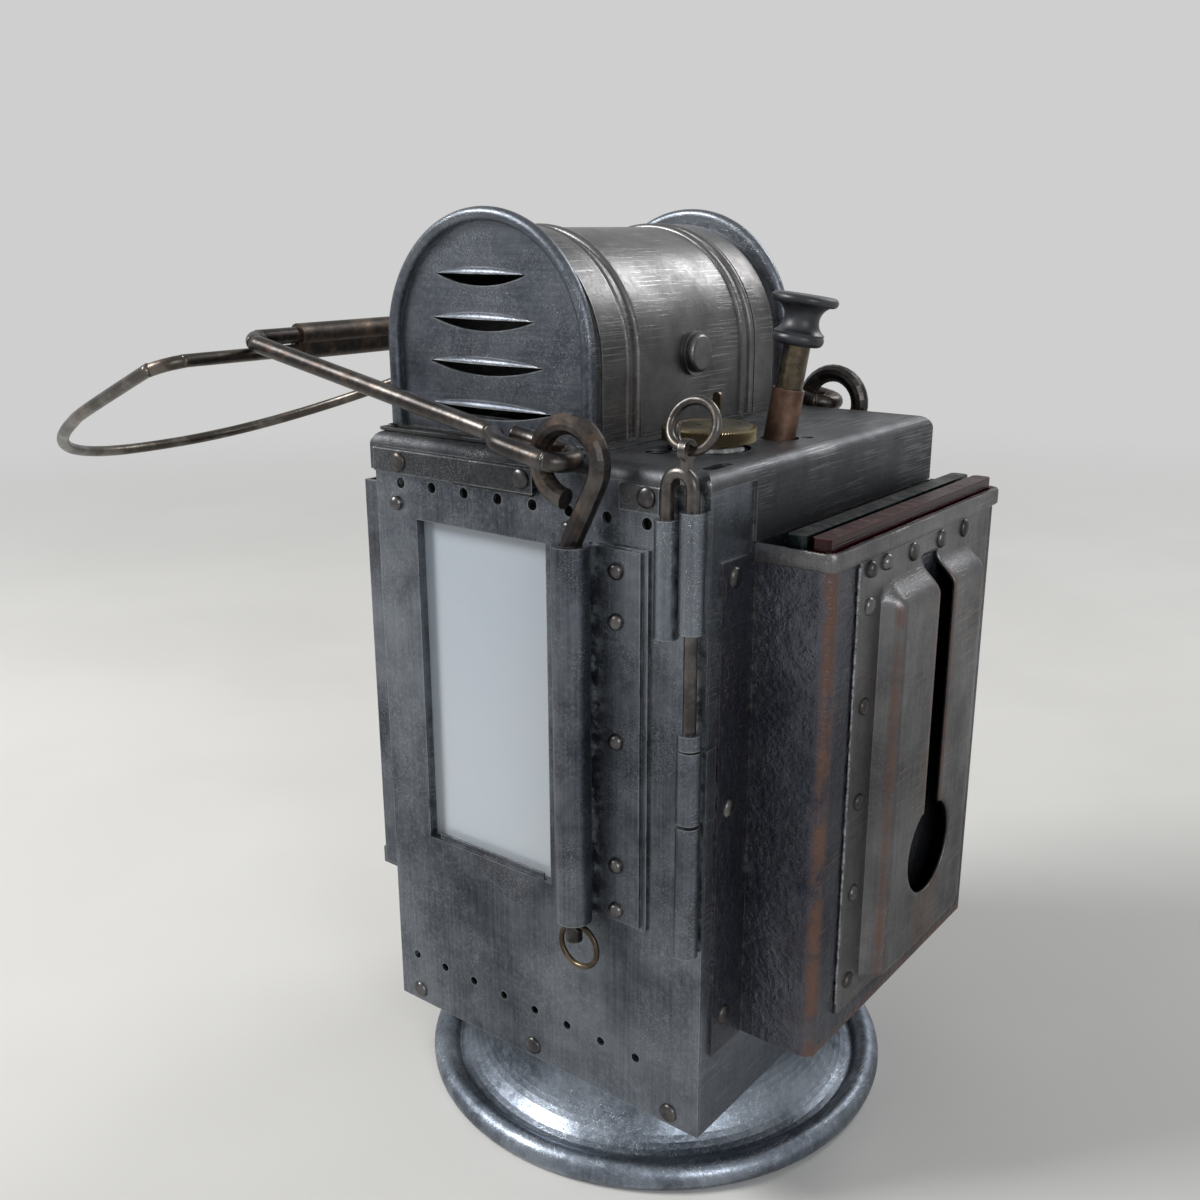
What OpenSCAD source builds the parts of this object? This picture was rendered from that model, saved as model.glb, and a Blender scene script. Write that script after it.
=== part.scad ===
// Acetylene signal lantern with a morse key. A riveted body of tinned sheet
// stands on a round dished foot. It has a barrel chimney, an opal side window,
// a box of coloured filters on one side and a folding wire handle.
// Millimetres, +Z up. The window faces -Y, the filter box is on +X and the
// signal lens on -X. The origin is the centre of the foot, on the ground.

/* [Body] */
// Width of the body across the window plate
body_w = 100; // [94:1:112]
// Depth of the body from the window plate to the rear wall
body_d = 106; // [100:1:118]
// Height of the underside of the body above the ground
body_base = 23; // [18:1:32]
// Height of the body from its underside to the top of the cap deck
body_h = 160; // [152:1:180]
// Thickness of the tinned sheet
sheet = 0.8; // [0.6:0.1:1]
// Radius of the pressed edges of the cap deck
edge_r = 3.5; // [2.5:0.5:5]
// Depth of the short skirts of the cap deck
skirt_h = 9.5; // [8:0.5:11]
// Depth of the long skirt of the cap deck above the filter box
long_skirt_h = 17; // [12:0.5:17]
// Thickness of the hem folded on the front skirt
hem_t = 1.2; // [0.8:0.1:1.6]
// Height of the turned-up lip of the floor pan
pan_lip = 8; // [5:0.5:10]

/* [Foot] */
// Radius of the foot over its rolled rim
foot_r = 65; // [60:1:75]
// Radius of the rolled rim's section
rim_r = 3.7; // [2.5:0.1:4.5]
// How far the underside of the rim is flattened
rim_flat = 0.6; // [0.3:0.1:1]
// Radius of the neck that carries the body
neck_r = 47; // [38:1:49]
// Thickness of the foot's sheet
foot_sheet = 1.2; // [0.8:0.1:1.6]
// Height of the groove inside the rim
groove_z = 3.2; // [2.5:0.1:4]

/* [Vent holes] */
// Number of holes in each row
vent_count = 8; // [4:1:8]
// Distance between the holes
vent_pitch = 10.75; // [8:0.25:11]
// Diameter of the holes in the top row
top_vent_d = 2.7; // [2:0.1:4]
// Diameter of the holes in the bottom row
low_vent_d = 2.3; // [2:0.1:4]
// Distance of the top row below the deck
top_vent_drop = 12.3; // [11.5:0.1:14]
// Height of the bottom row above the underside of the body
low_vent_rise = 14.2; // [12:0.1:18]
// Gap between the plate and the light baffle behind the top row
baffle_gap = 2.5; // [1.5:0.1:3.5]

/* [Window] */
// Width of the window opening
window_w = 41.7; // [30:0.1:44]
// Height of the window opening
window_h = 86.4; // [60:0.1:88]
// Middle of the window from the middle of the plate
window_x = -15.3; // [-17:0.1:-13]
// Height of the window sill above the underside of the body
window_sill = 52.7; // [50:0.1:60]
// Thickness of the opal pane
pane_t = 2.5; // [2:0.1:4]
// How far the opal pane overlaps the opening
pane_lap = 2; // [1.5:0.1:3]
// How far the pane lies behind the inside of the plate
pane_set = 2.2; // [1.5:0.1:3]

/* [Signal side] */
// Radius of the signal lens where it shows
lens_r = 34; // [28:0.5:36]
// Bulge of the signal lens
lens_bulge = 5; // [3:0.5:5.5]
// Thickness of the lens at its edge
lens_edge = 3; // [2:0.5:4]
// Height of the flame and the lens centre above the underside of the body
flame_rise = 92; // [90:1:94]
// Depth of the filter guide
guide_depth = 13; // [12:0.5:15]
// Height of the filter guide's foot above the underside of the body
guide_rise = 34; // [30:1:38]
// Length of the filter guide
guide_h = 111; // [100:1:116]
// Width of the guide's turned-in lips
guide_lip = 4; // [3:0.5:5]

/* [Filters] */
// Width of a glass filter
filter_w = 87.6; // [80:0.1:90]
// Height of a glass filter
filter_h = 124; // [118:0.5:126]
// Thickness of a glass filter
filter_t = 4.5; // [3:0.1:4.8]
// Depth of the filter box from the side wall
box_depth = 19.6; // [18.6:0.1:22]
// Height of the filter box, which hangs close under the deck's long skirt
box_h = 122; // [112:1:122]
// Radius of the outer corners of the filter box
box_corner = 3; // [2:0.5:4]
// Height of the folded rim of the filter box
box_rim_h = 3; // [2:0.5:4]
// Number of slots in the filter box
slot_count = 3; // [3:1:3]
// Clearance on each side of a glass filter
filter_gap = 0.35; // [0.3:0.05:0.4]

/* [Hanger pan] */
// Depth of the pressed pan
pan_depth = 5; // [4:0.5:7]
// Width of the pan
pan_w = 51; // [44:0.5:54]
// Distance of the pan's foot from the foot of the filter box
pan_foot = 8.8; // [7:0.1:12]
// Distance of the pan's open mouth below the rim of the filter box
pan_drop = 9.7; // [8:0.1:12]
// Middle of the pan along the side, from the middle of the body
pan_y = 11.5; // [9:0.5:13]
// Width of the keyhole's slot
key_slot_w = 9; // [6:0.5:12]
// Radius of the keyhole's round end
keyhole_r = 12; // [9:0.5:14]
// Height of the keyhole's centre above the foot of the pan
keyhole_rise = 29; // [24:0.5:36]

/* [Chimney] */
// Middle of the chimney from the middle of the body
chimney_x = -17; // [-18:0.5:-16]
// Half the width of the chimney's end plates
chimney_r = 32; // [29:0.5:32.5]
// Radius of the rolled rim of the end plates
end_rim_r = 1.6; // [1.2:0.1:2]
// Height from the deck to where the end plates turn round
chimney_side_h = 21; // [16:0.5:26]
// Distance from the window plate to the front end plate
chimney_front = 8; // [7.5:0.5:10]
// Length of the chimney barrel
barrel_len = 81; // [70:0.5:85]
// How much lower the barrel is than the end plates
barrel_drop = 2.3; // [0:0.1:3]
// Plain neck between an end plate and its collar
neck_w = 3.5; // [2:0.5:5]
// Width of the pressed collars at the ends of the barrel
collar_w = 9; // [6:0.5:12]
// Distance between the two beads beside a collar
bead_pitch = 4.2; // [3:0.1:6]
// How far collars stand proud of the barrel
collar_proud = 0.7; // [0.4:0.1:1]
// Radius of the pressed beads beside the collars
bead_r = 1.2; // [0.8:0.1:1.5]
// Number of louvres in an end plate
louvre_count = 4; // [3:1:4]
// Distance between the louvres
louvre_pitch = 10.25; // [8:0.05:10.5]
// Height of the lowest louvre above the deck
louvre_rise = 7.3; // [6:0.1:9]
// Depth of a louvre's crescent opening
louvre_gap = 2.7; // [2:0.1:3.5]
// How far the hood above a louvre bulges out
louvre_bulge = 1.6; // [1.2:0.1:2]
// Diameter of the round boss on the barrel
boss_d = 10.7; // [7:0.1:12]
// How far the boss stands out
boss_h = 3; // [2:0.1:4]

/* [Handle] */
// Diameter of the handle wire
bail_d = 4.4; // [3.6:0.1:4.6]
// Length from the handle's hinge line to the middle of the grip
bail_reach = 110.4; // [105:0.1:120]
// Angle of the handle above the horizontal as it lies on the deck
bail_rest = 10.7; // [10:0.1:13]
// Distance of the hinge line from the middle of the body
hinge_x = 18; // [17.5:0.1:18.5]
// Height of the hinge line above the deck
hinge_rise = 0.2; // [0:0.1:1]
// Distance of the handle's arms from the window plate
arm_out = 6.3; // [6.3:0.1:7]
// Diameter of the hook rods
rod_d = 4.8; // [4.2:0.1:4.8]
// Centre-line radius of the hooks
hook_r = 8.3; // [8:0.1:8.6]
// Length of the rolled sleeves of the hook rods
sleeve_len = 91.5; // [80:0.5:95]
// Distance of the sleeves' top below the deck
sleeve_drop = 18; // [17.5:0.5:22]
// Wall of the rolled sleeves
sleeve_wall = 1.9; // [1.4:0.1:2.2]
// Width of the sleeves' riveted flange
sleeve_flange = 17; // [14:0.5:18]
// Diameter of the hand loop's wire
loop_d = 3.4; // [2.8:0.1:3.6]
// Depth of the hand loop
loop_depth = 118; // [90:1:120]
// Half the width of the hand loop
loop_half = 68; // [60:1:72]
// How far the hand loop is pushed to the front in its sleeve
loop_shift = 16; // [0:1:18]
// Angle of the hand loop below the horizontal
loop_droop = 20; // [10:1:30]
// Length of the grip's folded sleeve
grip_len = 84; // [60:1:90]
// Wall of the grip's folded sleeve
grip_wall = 0.85; // [0.6:0.05:1.2]

/* [Corner pin] */
// Diameter of the pull pin's wire
pin_d = 3; // [2.4:0.1:3.2]
// Distance of the pin's long leg from the side wall
pin_edge = 2.7; // [2.6:0.1:3.5]
// Distance between the legs of the pin
pin_gap = 6.4; // [6:0.1:7]
// Distance of the pin's axis from the window plate
pin_out = 2.4; // [2.3:0.1:2.6]
// Wall of the pin's rolled tubes
tube_wall = 1.2; // [0.8:0.1:1.4]
// Depth of the pin's long leg below the deck
pin_long = 109; // [100:1:112]
// Depth of the pin's short leg below the deck
pin_short = 35; // [30:1:40]
// Length of the upper tube on the long leg
tube_len = 26; // [20:1:30]
// Length of the side wall's knuckle on the pin
pin_knuckle_h = 17; // [12:1:20]
// Depth of the knuckle's top below the deck
knuckle_drop = 60; // [50:1:65]
// Centre-line radius of the pull ring
ring_r = 5.3; // [4.5:0.1:6]
// Diameter of the pull ring's wire
ring_d = 2.2; // [1.6:0.1:2.2]

/* [Filler and key] */
// Diameter of the knurled filler cap
cap_d = 21.6; // [18:0.1:22]
// Height of the knurled filler cap
cap_h = 4; // [3:0.1:5]
// Number of teeth of the knurl
knurl_count = 48; // [24:4:60]
// Radius of the filler neck
filler_r = 6.5; // [5:0.1:7]
// Distance of the filler from the side wall
filler_in = 19; // [18:0.5:20]
// Distance of the filler from the window plate
filler_back = 28; // [26:0.5:30]
// Diameter of the morse key's rod
key_d = 6.5; // [5:0.1:6.5]
// Wall of the morse key's guide tube
guide_wall = 0.5; // [0.4:0.1:1]
// Height of the guide tube above the deck
guide_up = 11.8; // [10:0.1:14]
// Visible length of the rod between guide tube and knob
key_up = 10.2; // [9:0.1:12]
// Travel of the morse key
key_travel = 8; // [4:0.5:8]
// Lean of the morse key away from the chimney
key_lean = 8.5; // [0:0.5:10]
// Direction in which the key leans, from the side wall's normal
key_yaw = 36; // [20:1:45]
// Radius of the knob's top
knob_r = 7.8; // [6.5:0.1:9]
// Height of the knob
knob_h = 11.6; // [10:0.1:16]

/* [Gas works] */
// Radius of the carbide canister
canister_r = 22; // [18:0.5:23]
// Height of the carbide canister
canister_h = 36; // [25:1:38]
// Height of the water tank
tank_h = 28; // [20:1:32]
// Radius of curvature of the reflector
reflector_curve = 50; // [45:1:60]
// Radius of the reflector's rim
reflector_r = 36; // [28:0.5:37]
// Diameter of the gas tubes
gas_d = 4; // [3:0.1:5]
// Wire diameter of the valve spring
spring_d = 0.8; // [0.6:0.05:0.9]
// Mean radius of the valve spring
spring_r = 3.4; // [3.2:0.1:3.8]
// Number of turns of the valve spring
spring_turns = 8; // [5:1:9]

/* [Rear door] */
// Width of the door opening
door_w = 40; // [34:0.5:42]
// Height of the door opening
door_h = 96; // [80:0.5:100]
// How far the door laps over the wall
door_lap = 4; // [3:0.5:5]
// Diameter of the hinge pin
hinge_d = 2; // [1.6:0.1:2.4]

/* [Fits] */
// Radial clearance of a pin or rod that turns or slides
run = 0.06; // [0.03:0.01:0.1]
// Gap between parts that must never touch
air = 0.3; // [0.2:0.05:0.4]

/* [Hidden] */
$fn = 48;

// Main faces and levels
front_y = -body_d / 2;
rear_y = body_d / 2;
right_x = body_w / 2;
left_x = -body_w / 2;
deck_z = body_base + body_h;
under_deck = deck_z - sheet;
floor_z = body_base + sheet;
wall_top = deck_z - edge_r;
skirt_z = deck_z - skirt_h;
cut = 0.5;                        // overshoot of every cutting solid
steel = [0.42, 0.44, 0.46];
dark_steel = [0.30, 0.29, 0.28];
brass = [0.66, 0.56, 0.34];
copper = [0.55, 0.38, 0.30];

// ---- helpers -------------------------------------------------------------

// A box given by its two opposite corners
module block(a, b) {
    translate(a) cube(b - a);
}

// A straight round bar from p to q
module bar(p, q, r) {
    v = q - p;
    translate(p)
        rotate([0, acos(v[2] / norm(v)), atan2(v[1], v[0])])
            cylinder(r = r, h = norm(v));
}

// Points of an arc about c, from angle a0 to a1 in n steps
function arc(c, r, a0, a1, n) =
    [for (i = [0:n]) c + r * [cos(a0 + (a1 - a0) * i / n), sin(a0 + (a1 - a0) * i / n)]];

function unit(v) = v / norm(v);

// A round wire along a flat path in the XY plane; shut joins its last point to its first
module wire(path, r, sides = 10, shut = false) {
    n = len(path);
    points = [for (i = [0:n - 1], k = [0:sides - 1])
        let (into = shut || i > 0 ? unit(path[i] - path[(i + n - 1) % n]) : unit(path[1] - path[0]),
             out = shut || i < n - 1 ? unit(path[(i + 1) % n] - path[i]) : into,
             t = unit(into + out),
             side = [t[1], -t[0]],
             half = into * t,
             a = 360 * k / sides)
        [path[i][0] + side[0] * r * cos(a) / half,
         path[i][1] + side[1] * r * cos(a) / half,
         r * sin(a)]];
    e = (n - 1) * sides;
    polyhedron(points = points, convexity = 6, faces = concat(
        [for (i = [0:n - (shut ? 1 : 2)], k = [0:sides - 1], h = [0:1])
            let (a = i * sides + k, b = i * sides + (k + 1) % sides,
                 c = (a + sides) % (n * sides), d = (b + sides) % (n * sides))
            h == 0 ? [a, b, d] : [a, d, c]],
        [for (k = [1:sides - 2]) if (!shut) [0, k + 1, k]],
        [for (k = [1:sides - 2]) if (!shut) [e, e + k, e + k + 1]]));
}

// A closed ring of round wire about the Z axis
module wire_ring(r, wire_r) {
    rotate_extrude() translate([r, 0]) circle(r = wire_r, $fn = 24);
}

// A rivet head standing on z = 0, pointing up: domed or nearly flat
module rivet(r, h) {
    ball = (r * r + h * h) / (2 * h);
    rotate_extrude() intersection() {
        translate([0, h - ball]) circle(r = ball, $fn = 96);
        square([r, h]);
    }
}

// Places rivet heads on the front plate, at [x, z] points, proud of it by out
module on_front(points, out) {
    for (p = points) translate([p[0], front_y - out, p[1]]) rotate([90, 0, 0]) children();
}

// Places rivet heads on the right side, at [y, z] points, on the face at x
module on_right(points, x) {
    for (p = points) translate([x, p[0], p[1]]) rotate([0, 90, 0]) children();
}

// Outline with the two upper corners rounded, standing on y = 0
module lid_outline(w, h, r) {
    translate([-w / 2, 0]) square([w, h - r]);
    translate([-w / 2 + r, 0]) square([w - 2 * r, h]);
    for (s = [-1, 1]) translate([s * (w / 2 - r), h - r]) circle(r = r);
}

// A block with rounded upper edges along all four sides
module lid_block(w, d, z0, z1, r) {
    intersection() {
        translate([0, d, z0]) rotate([90, 0, 0]) linear_extrude(2 * d) lid_outline(w, z1 - z0, r);
        translate([-w, 0, z0]) rotate([90, 0, 90]) linear_extrude(2 * w) lid_outline(d, z1 - z0, r);
    }
}

// Outline of the chimney seen from the front: straight sides up to side_h and a round top
module arch(half, low, side_h) {
    translate([-half, low]) square([2 * half, side_h - low]);
    intersection() {
        translate([0, side_h]) circle(r = half, $fn = 96);
        translate([-half, side_h - cut]) square([2 * half, half + 1]);
    }
}

barrel_side_h = chimney_side_h - barrel_drop;

// An arch-shaped shell from y0 to y1, standing on the chimney base
module arch_shell(outer, inner, y0, y1, low) {
    translate([chimney_x, y1, deck_z]) rotate([90, 0, 0]) linear_extrude(y1 - y0)
        difference() {
            arch(outer, low, barrel_side_h);
            arch(inner, low - cut, barrel_side_h);
        }
}

// A round bead that follows the arch
module arch_bead(half, r, y, low, side_h) {
    translate([chimney_x, y, deck_z]) {
        translate([0, 0, side_h]) rotate([90, 0, 0])
            rotate_extrude(angle = 180, $fn = 96) translate([half, 0]) circle(r = r, $fn = 24);
        for (s = [-1, 1]) translate([s * half, 0, low])
            cylinder(r = r, h = side_h - low, $fn = 24);
    }
}

// ---- foot and body -------------------------------------------------------

flare_w = foot_r - 2 * rim_r - neck_r + 1;
flare_h = body_base - groove_z - 3;

module foot() {
    color(steel) rotate_extrude($fn = 120) {
        intersection() {
            translate([foot_r - rim_r, rim_r - rim_flat]) circle(r = rim_r, $fn = 32);
            square([foot_r, 2 * rim_r]);
        }
        // Concave dish: a quarter ellipse, drawn once on each face of the sheet
        polygon(concat(
            [for (t = [0:7.5:90]) [neck_r + flare_w * (1 - sin(t)), groove_z + flare_h * (1 - cos(t))]],
            [for (t = [90:-7.5:0]) [neck_r + flare_w - (flare_w + foot_sheet) * sin(t),
                groove_z + flare_h - (flare_h + foot_sheet) * cos(t)]]));
        translate([neck_r - foot_sheet, groove_z + flare_h])
            square([foot_sheet, body_base - groove_z - flare_h]);
    }
}

module floor_pan() {
    color(steel) difference() {
        block([left_x + sheet, front_y + sheet, body_base],
            [right_x - sheet, rear_y - sheet, floor_z + pan_lip]);
        block([left_x + 2 * sheet, front_y + 2 * sheet, floor_z],
            [right_x - 2 * sheet, rear_y - 2 * sheet, floor_z + pan_lip + cut]);
    }
}

top_vent_z = deck_z - top_vent_drop;
low_vent_z = body_base + low_vent_rise;
top_vent_x = -41.2;               // first hole of the top row
low_vent_x = -43.6;               // first hole of the bottom row

// Both rows of vent holes, as cutting pegs through a plate at y
module vent_pegs(y) {
    for (i = [0:vent_count - 1]) {
        translate([top_vent_x + i * vent_pitch, y + cut, top_vent_z]) rotate([90, 0, 0])
            cylinder(d = top_vent_d, h = sheet + 2 * cut, $fn = 24);
        translate([low_vent_x + i * vent_pitch, y + cut, low_vent_z]) rotate([90, 0, 0])
            cylinder(d = low_vent_d, h = sheet + 2 * cut, $fn = 24);
    }
}

window_z0 = body_base + window_sill;
window_z1 = window_z0 + window_h;
window_x0 = window_x - window_w / 2;
window_x1 = window_x + window_w / 2;
window_lip = 1.5;                 // height of the tab folded out along the sill
frame_lap = pane_lap + 2;         // how far the pane's frame reaches past the opening

module front_plate() {
    color(steel) {
        difference() {
            block([left_x, front_y, body_base], [right_x, front_y + sheet, wall_top]);
            block([window_x0, front_y - cut, window_z0], [window_x1, front_y + sheet + cut, window_z1]);
            vent_pegs(front_y + sheet);
        }
        // Folded tab along the sill of the window
        block([window_x0 + 3, front_y + sheet, window_z0 - window_lip],
            [window_x1 - 3, front_y + sheet + 0.6, window_z0 + window_lip]);
    }
}

door_x0 = -38;                    // hinge side of the door opening
door_x1 = door_x0 + door_w;
door_z0 = body_base + 39;
door_z1 = door_z0 + door_h;

module rear_wall() {
    color(steel) difference() {
        block([left_x, rear_y - sheet, body_base], [right_x, rear_y, wall_top]);
        block([door_x0, rear_y - sheet - cut, door_z0], [door_x1, rear_y + cut, door_z1]);
        vent_pegs(rear_y);
    }
}

corner_lap = 5;                   // width of the side walls' inner corner flanges
corner_z0 = floor_z + pan_lip + 1;
corner_z1 = deck_z - 22;

// A side wall with its corner flanges, drawn for the right side
module plain_side() {
    block([right_x - sheet, front_y + sheet, body_base], [right_x, rear_y - sheet, wall_top]);
    for (y = [front_y + sheet, rear_y - 2 * sheet])
        block([right_x - sheet - corner_lap, y, corner_z0], [right_x - sheet / 2, y + sheet, corner_z1]);
}

module side_wall() {
    color(steel) plain_side();
}

flame_z = body_base + flame_rise;
lens_seat = 1.5;                  // how far the lens edge laps behind the wall

module signal_wall() {
    color(steel) difference() {
        mirror([1, 0, 0]) plain_side();
        translate([left_x - cut, 0, flame_z]) rotate([0, 90, 0])
            cylinder(r = lens_r + 0.2, h = sheet + 2 * cut, $fn = 96);
    }
}

// ---- cap deck ------------------------------------------------------------

box_y1 = rear_y + sheet;          // ends of the filter box
box_y0 = rear_y - filter_w - 2 * filter_gap - sheet / 2 - 0.3;
long_skirt_y = box_y0;            // where the long skirt begins
tube_zone = 11.5;                 // width of the corner left free for the pin tubes
notch_x0 = hinge_x - 14.5;        // gap in the front hem for the handle's eye
notch_x1 = hinge_x + 10;
throat_x = chimney_r - 5;
filler_x = right_x - filler_in;
filler_y = front_y + filler_back;
key_x = right_x - 13;
key_y = filler_y + 21.5;

module hem_strip(x0, x1) {
    translate([x0, front_y - sheet, skirt_z]) rotate([90, 0, 90]) linear_extrude(x1 - x0)
        translate([-hem_t, 0]) {
            square([hem_t, wall_top - skirt_z - hem_t / 2]);
            translate([hem_t / 2, wall_top - skirt_z - hem_t / 2]) circle(d = hem_t, $fn = 24);
            translate([hem_t / 2, 0]) square([hem_t / 2, wall_top - skirt_z]);
        }
}

module cap_deck() {
    long_z = deck_z - long_skirt_h;
    color(steel) difference() {
        union() {
            difference() {
                lid_block(body_w + 2 * sheet, body_d + 2 * sheet, long_z, deck_z, edge_r);
                lid_block(body_w, body_d, long_z - cut, under_deck, edge_r - sheet);
                block([left_x - 3, front_y - 3, long_z - cut], [right_x - 3, rear_y + 3, skirt_z]);
                block([left_x - 3, front_y - 3, long_z - cut], [right_x + 3, long_skirt_y, skirt_z]);
                for (s = [0, 1]) mirror([0, s, 0]) {
                    block([notch_x0, front_y - 3, long_z - cut], [notch_x1, front_y + 3, wall_top]);
                    block([right_x - tube_zone, front_y - 3, long_z - cut],
                        [s == 0 ? right_x + 3 : right_x - 4, front_y + 3, wall_top]);
                }
                block([right_x - 3, front_y - 3, long_z - cut], [right_x + 3, long_skirt_y, wall_top]);
            }
            for (s = [0, 1]) mirror([0, s, 0]) {
                hem_strip(left_x + 1.5, notch_x0);
                hem_strip(notch_x1, right_x - tube_zone);
            }
        }
        // Chimney throat
        block([chimney_x - throat_x, front_y + chimney_front + 4, under_deck - cut],
            [chimney_x + throat_x, front_y + chimney_front + barrel_len - 3, deck_z + cut]);
        // Filler opening, key opening with its worn side slot, corner slot, oval hole
        translate([filler_x, filler_y, under_deck - cut]) cylinder(r = filler_r + 3.2, h = sheet + 2 * cut);
        translate([key_x, key_y, under_deck - cut]) cylinder(r = key_d / 2 + guide_wall + 1, h = sheet + 2 * cut);
        translate([key_x + 5, key_y + 4.5, under_deck - cut]) cylinder(r = 1.6, h = sheet + 2 * cut);
        translate([right_x - 4.5, front_y + 6, under_deck - cut]) {
            cylinder(r = 1.6, h = sheet + 2 * cut);
            translate([-1.6, 0, 0]) cube([3.2, 7, sheet + 2 * cut]);
            translate([0, 7, 0]) cylinder(r = 1.6, h = sheet + 2 * cut);
        }
        translate([filler_x - 6, filler_y - 11.5, under_deck - cut]) cylinder(r = 3, h = sheet + 2 * cut);
    }
}

baffle_z0 = max(top_vent_z - 5, window_z1 + frame_lap + air);
baffle_z1 = top_vent_z + 5;
baffle_half = 43;

// Light baffle behind the front plate's top holes
module baffle() {
    y = front_y + sheet;
    block([-baffle_half, y + baffle_gap, baffle_z0], [baffle_half, y + baffle_gap + 0.5, baffle_z1]);
    for (s = [-1, 1])
        block([min(s * baffle_half, s * (baffle_half - 0.6)), y, baffle_z0],
            [max(s * baffle_half, s * (baffle_half - 0.6)), y + baffle_gap + 0.5, baffle_z1]);
}

module vent_baffles() {
    color([0.7, 0.7, 0.7]) for (s = [0, 1]) mirror([0, s, 0]) baffle();
}

// ---- chimney -------------------------------------------------------------

end_y = front_y + chimney_front;            // back of the front end plate
far_y = end_y + barrel_len;                 // front of the rear end plate
barrel_r = chimney_r - end_rim_r - collar_proud - 0.1;
base_t = sheet;

module chimney_base() {
    inner = barrel_r - sheet - 0.1;
    color(steel) {
        difference() {
            block([chimney_x - chimney_r - 0.8, front_y + 2, deck_z],
                [chimney_x + chimney_r + 2, far_y + 4.5, deck_z + base_t]);
            block([chimney_x - inner + sheet, end_y + 1 + sheet, deck_z - cut],
                [chimney_x + inner - sheet, far_y - 1 - sheet, deck_z + base_t + cut]);
        }
        difference() {
            block([chimney_x - inner, end_y + 1, deck_z], [chimney_x + inner, far_y - 1, deck_z + 5]);
            block([chimney_x - inner + sheet, end_y + 1 + sheet, deck_z - cut],
                [chimney_x + inner - sheet, far_y - 1 - sheet, deck_z + 5 + cut]);
        }
    }
}

module chimney_barrel() {
    inner = barrel_r - sheet;
    color(steel) {
        arch_shell(barrel_r, inner, end_y, far_y, base_t);
        // At each end: plain neck, collar and two beads
        for (e = [[end_y, 1], [far_y, -1]]) {
            y = e[0] + e[1] * (neck_w + collar_w / 2);
            arch_shell(barrel_r + collar_proud, barrel_r - sheet / 2, y - collar_w / 2,
                y + collar_w / 2, base_t);
            for (d = [bead_r, bead_r + bead_pitch]) {
                bead_y = e[0] + e[1] * (neck_w + collar_w + d);
                difference() {
                    arch_bead(barrel_r - 0.3, bead_r, bead_y, base_t, barrel_side_h);
                    arch_shell(inner + sheet / 2, 1, bead_y - 2 * bead_r, bead_y + 2 * bead_r, base_t - cut);
                }
            }
        }
    }
}

// Radius of an arc that spans w and rises by h
function arc_r(w, h) = (w * w / 4 + h * h) / (2 * h);

// A spindle-shaped bulge about the X axis, between points w apart
module spindle(w) {
    big = arc_r(w, louvre_bulge);
    rotate([0, 90, 0]) rotate_extrude() intersection() {
        translate([louvre_bulge - big, 0]) circle(r = big, $fn = 180);
        translate([0, -w]) square([louvre_bulge + 1, 2 * w]);
    }
}

// The plate above a louvre, pressed out into a shallow hood over z = 0
module hood(w) {
    difference() {
        spindle(w);
        translate([-w, -w, -w]) cube([2 * w, 2 * w, w]);
        translate([-w, 0, -w]) cube([2 * w, 2 * w, 2 * w]);
    }
}

// The crescent opening below the hood
module slit_outline(w) {
    r = arc_r(w, louvre_gap);
    intersection() {
        translate([0, r - louvre_gap]) circle(r = r, $fn = 180);
        translate([0.5 - w / 2, -louvre_gap - 1]) square([w - 1, louvre_gap + 1]);
    }
}

// Louvres get shorter towards the top, and each sits a little to the left of the one below
function louvre_w(i) = 41 - 4.1 * i;
function louvre_at(i) = [-1 - 0.4 * i, deck_z + louvre_rise + i * louvre_pitch];

// An end plate whose inner face lies on y = 0, facing -Y
module end_plate() {
    plate_t = 0.8;
    difference() {
        translate([0, 0, deck_z]) rotate([90, 0, 0]) linear_extrude(plate_t)
            arch(chimney_r - end_rim_r, base_t, chimney_side_h);
        for (i = [0:louvre_count - 1]) translate([louvre_at(i)[0], cut, louvre_at(i)[1]])
            rotate([90, 0, 0]) linear_extrude(plate_t + 2 * cut) slit_outline(louvre_w(i));
    }
    for (i = [0:louvre_count - 1])
        translate([louvre_at(i)[0], 0.3 - plate_t, louvre_at(i)[1]]) hood(louvre_w(i));
    translate([-chimney_x, -end_rim_r - 0.1, 0])
        arch_bead(chimney_r - end_rim_r, end_rim_r, 0, base_t, chimney_side_h);
}

module chimney_front_plate() {
    color(steel) translate([chimney_x, end_y, 0]) end_plate();
}

module chimney_rear_plate() {
    color(steel) translate([chimney_x, far_y, 0]) mirror([0, 1, 0]) end_plate();
}

boss_y = end_y + barrel_len / 2;
boss_z = deck_z + barrel_side_h;

// Round pressed boss on the barrel's side, hollowed behind to the barrel's curve
module chimney_boss() {
    soft = 1.1;                   // its rounded edge
    color(steel) difference() {
        translate([chimney_x + barrel_r - 1.5, boss_y, boss_z]) rotate([0, 90, 0])
            rotate_extrude() {
                square([boss_d / 2, boss_h - 0.3]);
                square([boss_d / 2 - 0.7 - soft, boss_h + 1.5]);
                translate([0, boss_h]) square([boss_d / 2 - 0.7, 1.5 - soft]);
                translate([boss_d / 2 - 0.7 - soft, boss_h + 1.5 - soft]) circle(r = soft, $fn = 32);
            }
        arch_shell(barrel_r + 0.02, 1, boss_y - boss_d, boss_y + boss_d, base_t);
    }
}

// ---- window and lens -----------------------------------------------------

pane_y = front_y + sheet + pane_set;

module opal_pane() {
    color([0.86, 0.90, 0.94]) block([window_x0 - pane_lap, pane_y, window_z0 - pane_lap],
        [window_x1 + pane_lap, pane_y + pane_t, window_z1 + pane_lap]);
}

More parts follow.
